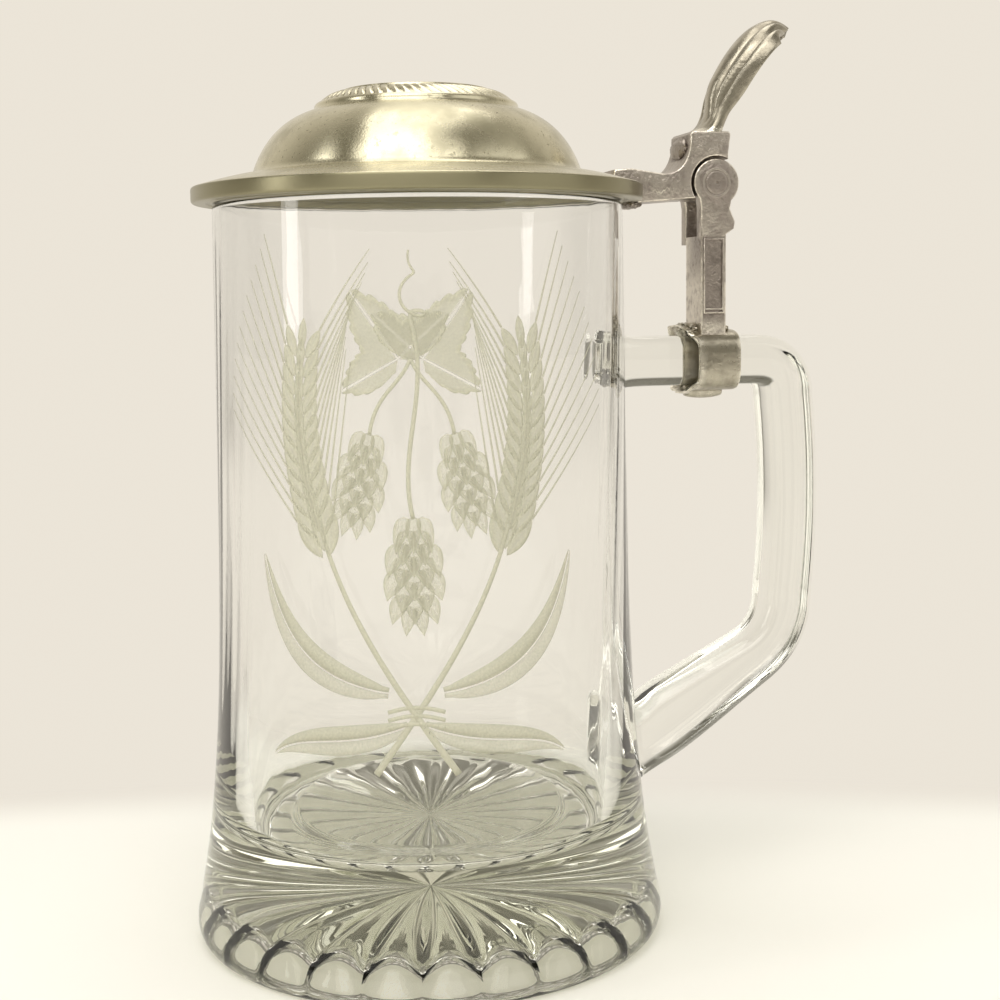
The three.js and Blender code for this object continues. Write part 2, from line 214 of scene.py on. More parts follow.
def inset(outline: Array, depth: float) -> Array:
    """Move a closed outline inwards along its mitred normals.

    Args:
        outline: Points in counter-clockwise order, one per row.
        depth: Distance to move.

    Returns:
        The moved points.
    """
    edge = np.roll(outline, -1, 0) - outline
    length = np.maximum(np.linalg.norm(edge, axis=1), TINY)[:, None]
    normal = np.stack([-edge[:, 1], edge[:, 0]], 1) / length
    mean = normal + np.roll(normal, 1, 0)
    mean /= np.maximum(np.linalg.norm(mean, axis=1), TINY)[:, None]
    reach = 1 / np.clip(np.sum(mean * normal, axis=1), 0.5, 1)
    return outline + mean * reach[:, None] * depth


def counter_clockwise(outline: Array) -> Array:
    """Give the outline in counter-clockwise order.

    Args:
        outline: Points of a closed outline, one per row.

    Returns:
        The points in that order.
    """
    x, y = outline.T
    area = np.sum(x * np.roll(y, -1) - y * np.roll(x, -1))
    return outline if area > 0 else outline[::-1]


class Draft:
    """Gathers grids of points in millimetres and makes one closed mesh of them."""

    def __init__(self) -> None:
        """Start with no points."""
        self._points: list[Array] = []
        self._marks: list[Array] = []
        self._loops: list[Array] = []
        self._sizes: list[Array] = []
        self._count = 0

    def _number(self, points: Array, mark: Any) -> Array:
        """Take points with their marks, and give each its index.

        Args:
            points: Points with X, Y and Z in the last axis.
            mark: The mark of each, or one for all.

        Returns:
            The indices, in the points' shape without its last axis.
        """
        index = np.arange(self._count, self._count + points.size // 3).reshape(points.shape[:-1])
        self._count += index.size
        self._points.append(points.reshape(-1, 3))
        self._marks.append(np.broadcast_to(np.asarray(mark, float), index.shape).ravel())
        return index

    def _add_faces(self, corners: Array) -> None:
        """Add faces of equal corner count, one per row."""
        self._loops.append(corners.ravel())
        self._sizes.append(np.full(len(corners), corners.shape[1]))

    def grid(
        self, points: Array, wrap_rows: bool = False, wrap_cols: bool = False, mark: Any = 0.0
    ) -> "Draft":
        """Add a surface whose points are a function of row and column, or many equal ones at once.

        Args:
            points: Rows by columns by 3, with an axis of patches before them if there are many.
            wrap_rows: True if the last row joins the first.
            wrap_cols: True if the last column joins the first.
            mark: The mark attribute of each point, or one for all.

        Returns:
            This draft.
        """
        net = self._number(points, mark)
        net = np.concatenate([net, net[..., :1, :]], axis=-2) if wrap_rows else net
        net = np.concatenate([net, net[..., :1]], axis=-1) if wrap_cols else net
        quads = [net[..., :-1, :-1], net[..., :-1, 1:], net[..., 1:, 1:], net[..., 1:, :-1]]
        self._add_faces(np.stack(quads, axis=-1).reshape(-1, 4))
        return self

    def loft(self, rings: Array, mark: Any = 0.0) -> "Draft":
        """Skin rings of points and close both ends with flat faces.

        Args:
            rings: Rings by points by 3.
            mark: The mark of each point, or one for all.

        Returns:
            This draft.
        """
        first = self._count
        self.grid(rings, wrap_cols=True, mark=mark)
        index = np.arange(first, self._count).reshape(rings.shape[:2])
        self._add_faces(index[[0, -1]])
        return self

    def plate(self, outline: Array, low: float, high: float, bevel: float) -> "Draft":
        """Carry an XZ outline over Y with rounded rims, whose points get the mark 1: wear with a painted
        highlight.

        Args:
            outline: Points in X and Z, one per row.
            low: Y of the near face.
            high: Y of the far face.
            bevel: Radius of the rims.

        Returns:
            This draft.
        """
        ring = counter_clockwise(outline)
        turn = np.linspace(0, math.pi / 2, 4)
        fall, run = (1 - np.sin(turn)) * bevel, (1 - np.cos(turn)) * bevel
        depth = np.concatenate([fall, fall[::-1]])
        y = np.concatenate([low + run, high - run[::-1]])
        rows = [np.insert(inset(ring, d), 1, at, axis=1) for d, at in zip(depth, y)]
        mark = np.where((depth > 0.02 * bevel) & (depth < 0.98 * bevel), 1.0, 0.35)
        return self.loft(np.stack(rows), mark=mark[:, None])

    def turned(self, profile: Array, columns: int, mark: Any = 0.0) -> "Draft":
        """Turn a closed profile of radius and height about the Z axis."""
        points = around(profile[:, :1], full_turn(columns), profile[:, 1:])
        return self.grid(points, wrap_cols=True, mark=mark)

    def turned_on_pin(self, profile: Array, columns: int, mark: Any = 0.0, closed: bool = False) -> "Draft":
        """Turn a profile of radius and Y about the hinge axis."""
        points = HINGE + around(profile[:, :1], full_turn(columns), profile[:, 1:])[..., [0, 2, 1]]
        return self.grid(points, wrap_rows=closed, wrap_cols=True, mark=mark)

    def make(self, name: str, sharp_deg: float = 38.0, recalculate: bool = True) -> bpy.types.Object:
        """Make the object: merge doubles, turn faces outwards, shade smooth up to an angle.

        Args:
            name: The piece's name.
            sharp_deg: Edges that turn by more stay sharp.
            recalculate: False leaves the faces as they were added.

        Returns:
            The new object, at the origin.
        """
        mesh = bpy.data.meshes.new(name)
        loops, sizes = np.concatenate(self._loops), np.concatenate(self._sizes)
        mesh.vertices.add(self._count)
        mesh.vertices.foreach_set("co", (np.concatenate(self._points) * MM).astype(np.float32).ravel())
        mesh.loops.add(len(loops))
        mesh.loops.foreach_set("vertex_index", loops.astype(np.int32))
        mesh.polygons.add(len(sizes))
        mesh.polygons.foreach_set("loop_start", (np.cumsum(sizes) - sizes).astype(np.int32))
        mesh.update(calc_edges=True)
        marks = mesh.attributes.new("mark", "FLOAT", "POINT")
        marks.data.foreach_set("value", np.concatenate(self._marks).astype(np.float32))
        net = bmesh.new()
        net.from_mesh(mesh)
        bmesh.ops.remove_doubles(net, verts=net.verts, dist=WELD)
        bmesh.ops.dissolve_degenerate(net, edges=net.edges, dist=SLIVER)
        if recalculate:
            bmesh.ops.recalc_face_normals(net, faces=net.faces)
        net.to_mesh(mesh)
        net.free()
        piece = bpy.data.objects.new(name, mesh)
        bpy.context.scene.collection.objects.link(piece)
        shade(piece, sharp_deg)
        return piece


def shade(piece: bpy.types.Object, sharp_deg: float) -> None:
    """Shade a mesh smooth, with edges that turn by more than an angle left sharp.

    Args:
        piece: The object.
        sharp_deg: The angle.
    """
    mesh = piece.data
    mesh.polygons.foreach_set("use_smooth", np.ones(len(mesh.polygons), bool))
    mesh.set_sharp_from_angle(angle=math.radians(sharp_deg))


def fuse(base: bpy.types.Object, other: bpy.types.Object) -> None:
    """Join a second closed piece into the first one, so that no wall is left between them.

    Args:
        base: The piece that is kept, with its mesh replaced.
        other: The piece that is joined in and removed.
    """
    union = base.modifiers.new("union", "BOOLEAN")
    union.operation, union.solver, union.object = "UNION", "MANIFOLD", other
    shape = base.evaluated_get(bpy.context.evaluated_depsgraph_get())
    joined = bpy.data.meshes.new_from_object(shape)
    base.modifiers.clear()
    old, base.data = base.data, joined
    joined.name = old.name
    for data in (old, other.data):
        bpy.data.meshes.remove(data)


def lump(centre: Array, radii: Triple, seed: int) -> Draft:
    """Draft a lump of cast metal: an ellipsoid whose radius follows a seeded ripple.

    Args:
        centre: Its middle.
        radii: Half sizes along X, Y and Z.
        seed: Seed of its ripple.

    Returns:
        The draft.
    """
    turn = full_turn(36)[None, :]
    rise = np.linspace(0, math.pi, 20)[:, None]
    coarse, fine = ripple(turn + 1.7 * rise, seed), ripple(3 * rise - turn, seed + 1)
    size = 1 + np.sin(rise) * (0.16 * coarse + 0.1 * fine)
    points = around(np.sin(rise), turn, np.cos(rise))[..., [2, 0, 1]]
    return Draft().grid(centre + size[..., None] * points * np.asarray(radii), wrap_cols=True, mark=0.25)


def add_lumps(piece: bpy.types.Object, lumps: list[tuple[Array, Triple, int]]) -> None:
    """Fuse lumps into a piece, each given by its middle, its half sizes and its seed."""
    for centre, radii, seed in lumps:
        fuse(piece, lump(centre, radii, seed).make("lump"))


class Value:
    """A shader socket with arithmetic: each operation on it adds a Math node."""

    def __init__(self, tree: "Tree", socket: bpy.types.NodeSocket) -> None:
        """Wrap an output socket of a tree."""
        self.tree, self.socket = tree, socket

    def math(self, operation: str, *others: "Value | float") -> "Value":
        """Add a Math node on this value and others."""
        inputs = dict(enumerate([self, *others]))
        return self.tree.node("ShaderNodeMath", {"operation": operation}, inputs)

    def __add__(self, other: "Value | float") -> "Value":
        """Add."""
        return self.math("ADD", other)

    def __mul__(self, other: "Value | float") -> "Value":
        """Multiply."""
        return self.math("MULTIPLY", other)

    def __sub__(self, other: "Value | float") -> "Value":
        """Subtract."""
        return self.math("SUBTRACT", other)

    def __rsub__(self, other: float) -> "Value":
        """Subtract this value from a number."""
        inputs = {0: other, 1: self}
        return self.tree.node("ShaderNodeMath", {"operation": "SUBTRACT"}, inputs)

    __radd__, __rmul__ = __add__, __mul__

    def rise(self, low: float, high: float) -> "Value":
        """Map low to 0 and high to 1 along a smooth step.

        Args:
            low: What gives 0.
            high: What gives 1.

        Returns:
            The share.
        """
        settings = {"interpolation_type": "SMOOTHSTEP"}
        inputs = {"Value": self, "From Min": low, "From Max": high}
        return self.tree.node("ShaderNodeMapRange", settings, inputs)

    def either(self, other: "Value") -> "Value":
        """Give the larger of two values."""
        return self.math("MAXIMUM", other)


class Tree:
    """The node tree of one material or world."""

    def __init__(self, owner: bpy.types.Material | bpy.types.World) -> None:
        """Empty the owner's node tree and keep it.

        Args:
            owner: The material or world.
        """
        owner.use_nodes = True
        self.nodes, self.links = owner.node_tree.nodes, owner.node_tree.links
        self.nodes.clear()

    def node(
        self, kind: str, settings: dict | None = None, inputs: dict | None = None, out: Any = 0
    ) -> Value:
        """Add one node.

        Args:
            kind: The node's type.
            settings: Properties that are set first.
            inputs: Values or links by socket name or number.
            out: Name or number of the output to give.

        Returns:
            The chosen output.
        """
        node = self.nodes.new(kind)
        for name, value in (settings or {}).items():
            setattr(node, name, value)
        for key, value in (inputs or {}).items():
            if isinstance(value, Value):
                self.links.new(value.socket, node.inputs[key])
            else:
                node.inputs[key].default_value = value
        return Value(self, node.outputs[out]) if node.outputs else Value(self, None)

    def place(self) -> Value:
        """Give Object coordinates."""
        return self.node("ShaderNodeTexCoord", out="Object")

    def mark(self) -> Value:
        """Give the mesh's mark attribute."""
        return self.node("ShaderNodeAttribute", {"attribute_name": "mark"}, out="Fac")

    def noise(
        self, scale: float, detail: float = 3.0, stretch: Triple = (1, 1, 1), rough: float = 0.55
    ) -> Value:
        """Give a noise of Object coordinates.

        Args:
            scale: Features per metre.
            detail: Number of finer layers.
            stretch: Scale along each axis, larger for narrower features.
            rough: Strength of the finer layers.

        Returns:
            The noise, from 0 to 1 about 0.5.
        """
        at = self.node("ShaderNodeMapping", inputs={"Vector": self.place(), "Scale": stretch})
        inputs = {"Vector": at, "Scale": scale, "Detail": detail, "Roughness": rough}
        return self.node("ShaderNodeTexNoise", inputs=inputs)

    def mix(self, share: Value, first: Any, second: Any) -> Value:
        """Mix two colours, each a colour or a link."""
        inputs = {0: share, 6: opaque(first), 7: opaque(second)}
        return self.node("ShaderNodeMix", {"data_type": "RGBA"}, inputs, out=2)

    def blend(self, share: Value, first: Value, second: Value) -> Value:
        """Mix two shaders."""
        return self.node("ShaderNodeMixShader", inputs={0: share, 1: first, 2: second})

    def vector(self, operation: str, *vectors: Any, out: Any = 0) -> Value:
        """Add a Vector Math node on one or two vectors."""
        return self.node("ShaderNodeVectorMath", {"operation": operation}, dict(enumerate(vectors)), out)

    def path(self, name: str) -> Value:
        """Give one of Light Path's outputs."""
        return self.node("ShaderNodeLightPath", out=name)

    def bump(self, height: Value, strength: float, distance: float) -> Value:
        """Give a normal bent by a height."""
        inputs = {"Height": height, "Strength": strength, "Distance": distance}
        return self.node("ShaderNodeBump", inputs=inputs)


def opaque(colour: Any) -> Any:
    """Give a plain colour its alpha, and leave a link as it is."""
    return colour if isinstance(colour, Value) else (*colour, 1.0)


@dataclass(frozen=True)
class Pewter:
    """A tin alloy with tarnished clouds, fine pits, worn edges that carry a painted highlight, and painted
    shade where marked.
    """

    name: str
    metal: Colour
    tarnish_and_shade: Colour
    rubbed_and_highlight: Colour
    roughness: float
    cloud_scale: float
    cloud_depth: float
    pit_scale: float
    pit_depth: float
    turned: float = 0.0

    def material(self) -> bpy.types.Material:
        """Make the material: clouds and pits mottle it, marked rims are lighter and other marks darker.

        A mark above nought is a worn rim with a painted highlight, and one below nought is painted shade.
        Turned metal blurs its reflections along the meridian only, which the constant anisotropy gives.

        Returns:
            The new material.
        """
        material = bpy.data.materials.new(self.name)
        tree = Tree(material)
        clouds = tree.noise(self.cloud_scale, 5.0, rough=0.62).rise(0.42, 0.72)
        pits = tree.noise(self.pit_scale, 2.0)
        specks = tree.noise(self.pit_scale * 0.45, 2.0).rise(0.6, 0.72)
        # Marks above nought: worn metal with a painted highlight on rims, and a painted sheen on faces
        # marked a little lower.
        wear_and_sheen = tree.mark().rise(0.0, 1.0) * tree.noise(420.0, 3.0).rise(0.25, 0.6)
        # Marks below nought: painted shade, the darker colour laid on hollows, the lid's underside and its
        # flange edge.
        recess = (0.0 - tree.mark()).rise(0.0, 1.0)
        tarnish_and_shade_share = (clouds * self.cloud_depth).either(specks * 0.55).either(recess)
        colour = tree.mix(tarnish_and_shade_share, self.metal, self.tarnish_and_shade)
        colour = tree.mix(wear_and_sheen, colour, self.rubbed_and_highlight)
        rough = self.roughness + 0.16 * tarnish_and_shade_share + 0.07 * pits - 0.12 * wear_and_sheen
        inputs = {
            "Base Color": colour,
            "Metallic": 1.0,
            "Roughness": rough,
            "Anisotropic": self.turned,
            "Anisotropic Rotation": 0.25,
            "Normal": tree.bump(pits + 0.4 * specks, self.pit_depth, 0.0004),
        }
        shader = tree.node("ShaderNodeBsdfPrincipled", inputs=inputs)
        tree.node("ShaderNodeOutputMaterial", inputs={"Surface": shader})
        return material


@dataclass(frozen=True)
class PressedGlass:
    """Clear pressed glass with an olive tint in its depth and a faint ripple."""

    name: str = "pressed_glass"
    index: float = 1.5
    tint: Colour = (0.64, 0.65, 0.475)
    depth: float = 12.0
    lamp_tint: Colour = (0.84, 0.845, 0.8)

    def material(self) -> bpy.types.Material:
        """Make the material: a rippled glass that lets lamps through, filled with a thin tint.

        Returns:
            The new material.
        """
        material = bpy.data.materials.new(self.name)
        tree = Tree(material)
        wave = tree.noise(70.0, 2.0, (1.0, 1.0, 0.35))
        inputs = {
            "Base Color": (1.0, 1.0, 1.0, 1.0),
            "Roughness": 0.0,
            "IOR": self.index,
            "Transmission Weight": 1.0,
            "Normal": tree.bump(wave, 0.06, 0.0006),
        }
        glass = tree.node("ShaderNodeBsdfPrincipled", inputs=inputs)
        clear = tree.node("ShaderNodeBsdfTransparent", inputs={"Color": opaque(self.lamp_tint)})
        surface = tree.blend(tree.path("Is Shadow Ray"), glass, clear)
        filled = {"Color": opaque(self.tint), "Density": self.depth}
        fill = tree.node("ShaderNodeVolumeAbsorption", inputs=filled)
        tree.node("ShaderNodeOutputMaterial", inputs={"Surface": surface, "Volume": fill})
        return material


@dataclass(frozen=True)
class Frost:
    """The matt film of an etched design."""

    name: str = "etched_frost"
    colour: Colour = (0.64, 0.625, 0.485)
    strength: float = 0.85

    def material(self) -> bpy.types.Material:
        """Make the material: a pale matt film whose cover follows the mark and a fine grain.

        Returns:
            The new material.
        """
        material = bpy.data.materials.new(self.name)
        tree = Tree(material)
        grain = tree.noise(2400.0, 2.0)
        cloud = tree.noise(150.0, 3.0)
        cover = tree.mark() * (self.strength * (0.55 + 0.5 * grain + 0.4 * cloud))
        tone = tree.mix(cloud, self.colour, tuple(0.9 * c for c in self.colour))
        inputs = {"Base Color": tone, "Roughness": 0.85, "Alpha": cover}
        shader = tree.node("ShaderNodeBsdfPrincipled", inputs=inputs)
        tree.node("ShaderNodeOutputMaterial", inputs={"Surface": shader})
        return material


SATIN = Pewter(
    name="satin_pewter",
    metal=(0.65, 0.607, 0.45),
    tarnish_and_shade=(0.305, 0.28, 0.18),
    rubbed_and_highlight=(0.80, 0.77, 0.65),
    roughness=0.2,
    cloud_scale=95.0,
    cloud_depth=0.55,
    pit_scale=2600.0,
    pit_depth=0.04,
    turned=0.8,
)
CAST = Pewter(
    name="cast_pewter",
    metal=(0.345, 0.302, 0.27),
    tarnish_and_shade=(0.17, 0.146, 0.127),
    rubbed_and_highlight=(0.86, 0.80, 0.70),
    roughness=0.33,
    cloud_scale=420.0,
    cloud_depth=0.8,
    pit_scale=1500.0,
    pit_depth=0.42,
)
PALE = Pewter(
    name="pale_pewter",
    metal=(0.43, 0.395, 0.32),
    tarnish_and_shade=(0.19, 0.168, 0.13),
    rubbed_and_highlight=(0.84, 0.80, 0.70),
    roughness=0.25,
    cloud_scale=330.0,
    cloud_depth=0.6,
    pit_scale=1300.0,
    pit_depth=0.13,
)


def dress(
    piece: bpy.types.Object, material: bpy.types.Material, body: Body, slot: Slot, *nodes: str
) -> None:
    """Give a piece its material and body, and hide the nodes that it stands for.

    Args:
        piece: The finished object.
        material: Its finish.
        body: The body that it rides on.
        slot: The record's slot of that finish; not used.
        *nodes: The nodes that it replaces.
    """
    piece.data.materials.clear()
    piece.data.materials.append(material)
    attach(piece, body.value)
    if nodes:
        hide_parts(*nodes)
    log.info("%s: %d faces on %s", piece.name, len(piece.data.polygons), body.value)


@dataclass
class GlassMug:
    """The pressed mug with its fused handle, star bottom and thumbprint foot."""

    height: float = 147.0
    rim_radius: float = 40.5
    rim_wall: float = 1.5
    well_radius: float = 37.2
    floor: float = 24.5
    trough: float = 22.4
    disc_radius: float = 27.8
    corner: float = 4.7
    flutes: int = 24
    flute_turn_deg: float = -103.0
    columns: int = 336
    side: tuple[tuple[float, float], ...] = ((47.9, 4.2), (44.0, 29.0), (41.6, 68.0), (40.5, 147.0))
    handle_half_width: float = 6.5
    handle_half_thickness: float = 5.1
    handle_cut: float = 0.34
    handle_reach: float = 77.7
    handle_top: float = 115.2
    handle_elbow: float = 56.0
    handle_foot: tuple[float, float] = (37.6, 31.0)
    finish: PressedGlass = field(default_factory=PressedGlass)

    def outer_radius(self, height: Array | float) -> Array:
        """Give the outer wall's radius at a height, from the same spline as the solid's."""
        side = spline(np.array(self.side), 240)
        return np.interp(height, side[:, 1], side[:, 0])

    def foot(self, angle: Array) -> tuple[Array, Array]:
        """Work out the star and foot: each radius has a ridge height and a flute height.

        Between them the height follows |sin(n a / 2)|^0.8, so ridges are sharp and flutes round.

        Args:
            angle: The columns' angles.

        Returns:
            Radius and height, rows by columns.
        """
        keys = np.array(
            [
                [0.0, 10.4, 10.4],
                [2.5, 10.15, 10.35],
                [7.0, 9.5, 10.3],
                [15.0, 8.4, 10.1],
                [25.0, 7.0, 9.6],
                [32.0, 6.2, 9.0],
                [35.6, 5.7, 8.5],
                [37.4, 5.3, 8.2],
                [38.8, 4.7, 7.6],
                [40.2, 3.8, 6.3],
                [41.6, 2.4, 3.9],
                [43.0, 0.8, 1.3],
                [44.4, 0.0, 0.05],
                [45.4, 0.0, 0.0],
                [46.5, 0.5, 0.5],
                [47.4, 1.7, 1.7],
                [47.85, 3.4, 3.4],
                [47.75, 5.4, 5.4],
                [47.3, 7.5, 7.5],
            ]
        )
        row = spline(keys, 120)
        turn = math.radians(self.flute_turn_deg)
        wave = np.abs(np.sin((angle - turn) * self.flutes / 2)) ** 0.8
        radius = np.broadcast_to(row[:, :1], (len(row), len(angle)))
        return np.maximum(radius, 0), row[:, 1:2] + (row[:, 2:] - row[:, 1:2]) * wave

    def build_body(self) -> Draft:
        """Draft the mug: foot, outer wall, rounded lip, wavy inner wall, corner and well floor.

        The profile is turned about the Z axis. A seeded ripple, which fades as sin(pi t) towards both
        ends, is added to the inner wall's radius.

        Returns:
            The draft.
        """
        angle = full_turn(self.columns)
        foot_radius, foot_height = self.foot(angle)
        lip = self.rim_wall / 2
        top = self.height - lip
        hold = np.array([0.12, 0.4, 1.2])
        rows = 7.5 + (top - 9.5) * np.linspace(0, 1, 50)[1:] ** 1.25
        up = np.concatenate([rows, top - hold[::-1], [top]])
        turn = np.linspace(0, math.pi, 9)[1:]
        rim = np.stack([self.rim_radius - lip + lip * np.cos(turn), top + lip * np.sin(turn)], 1)
        low = self.trough + self.corner
        down = np.concatenate([top - hold, np.linspace(top - 2.5, low, 40)])
        taper = self.rim_radius - self.rim_wall - self.well_radius
        wall = self.well_radius + taper * (down - low) / (top - low)
        bend = np.linspace(0, -math.pi / 2, 16)[1:]
        centre = self.well_radius - self.corner
        corner = np.stack([centre + self.corner * np.cos(bend), low + self.corner * np.sin(bend)], 1)
        edge = self.disc_radius
        step = [[edge + 2.0, self.trough], [edge + 0.4, self.trough]]
        rise = bezier([*step, [edge + 0.6, self.floor], [edge - 0.6, self.floor]], 10)
        flat = np.linspace(edge - 2.5, 0, 8)
        profile = np.vstack(
            [
                np.stack([self.outer_radius(up), up], 1),
                rim,
                np.stack([wall, down], 1),
                corner,
                rise,
                np.stack([flat, np.full_like(flat, self.floor)], 1),
            ]
        )
        radius = np.repeat(profile[:, :1], self.columns, axis=1)
        inside = slice(len(up) + len(rim), len(up) + len(rim) + len(down))
        fade = np.sin(np.linspace(0, math.pi, len(down)))[:, None]
        drift = np.linspace(0, 0.9, len(down))[:, None]
        radius[inside] += 0.045 * fade * ripple(angle[None, :] * 3 + drift, 4, 7)
        radius = np.vstack([foot_radius, radius])
        height = np.vstack([foot_height, np.repeat(profile[:, 1:], self.columns, axis=1)])
        return Draft().grid(around(radius, angle, height), wrap_cols=True)

    def handle_line(self) -> Array:
        """Give the handle's middle line in X and Z, from inside the wall at the top to its foot.

        Straight and curved Bezier pieces are joined and sampled at equal lengths.

        Returns:
            Points in X and Z, one per row.
        """
        x, z = self.handle_reach, self.handle_top
        low, foot = np.array([x, self.handle_elbow]), np.array(self.handle_foot)
        slant = (foot - low) / np.linalg.norm(foot - low)
        end = low + slant * 41.5
        pieces = [
            bezier([[39.3, z], [x - 8, z]], 60),
            bezier([[x - 8, z], [x, z], [x, z - 8]], 30),
            bezier([[x, z - 8], [x + 2.2, 86.1], [x, 65.0]], 60),
            bezier([[x, 65.0], low, low + slant * 9], 30),
            bezier([low + slant * 9, end], 60),
        ]
        return even(np.vstack(pieces), 170)

    def build_handle(self) -> Draft:
        """Draft the handle: a bevelled bar carried along its line, flared where it meets the wall.

        An octagon is scaled to the bar's half width and half thickness. Both grow near each end with
        exp(-distance / fall), and the bar also thickens towards its foot.

        Returns:
            The draft.
        """
        line = self.handle_line()
        _, across = along(line)
        share = np.linspace(0, 1, len(line))
        length = np.sum(np.linalg.norm(np.diff(line, axis=0), axis=1))
        to_root, to_foot = share * length, (1 - share) * length
        upright = smooth(to_foot, 14, 1)[:, None]
        across = across * (1 - upright) + np.array([0.0, -1.0]) * upright
        across /= np.linalg.norm(across, axis=1, keepdims=True)
        flare = np.exp(-to_root / 1.5) + np.exp(-to_foot / 2.2)
        thick = self.handle_half_thickness + 2.2 * smooth(share, 0.68, 0.97) + 1.5 * flare
        wide = self.handle_half_width + 1.1 * flare
        cut = self.handle_cut
        corners = np.array([[1, 1 - cut], [1 - cut, 1], [cut - 1, 1], [-1, 1 - cut]])
        section = rounded(np.vstack([corners, -corners]), 0.15, 5)
        y = wide[:, None] * section[:, 0]
        reach = (thick[:, None] * section[:, 1])[..., None] * across[:, None, :]
        middle = line[:, None, :] + reach
        return Draft().loft(np.stack([middle[..., 0], y, middle[..., 1]], -1))

    def build(self) -> None:
        """Build the fused glass and dress it."""
        glass = self.build_body().make("stein_glass", 50.0)
        handle = self.build_handle().make("handle_bar", 50.0)
        fuse(glass, handle)
        shade(glass, 40.0)
        dress(glass, self.finish.material(), Body.MUG, Slot.GLASS, "glass_body", "glass_handle")


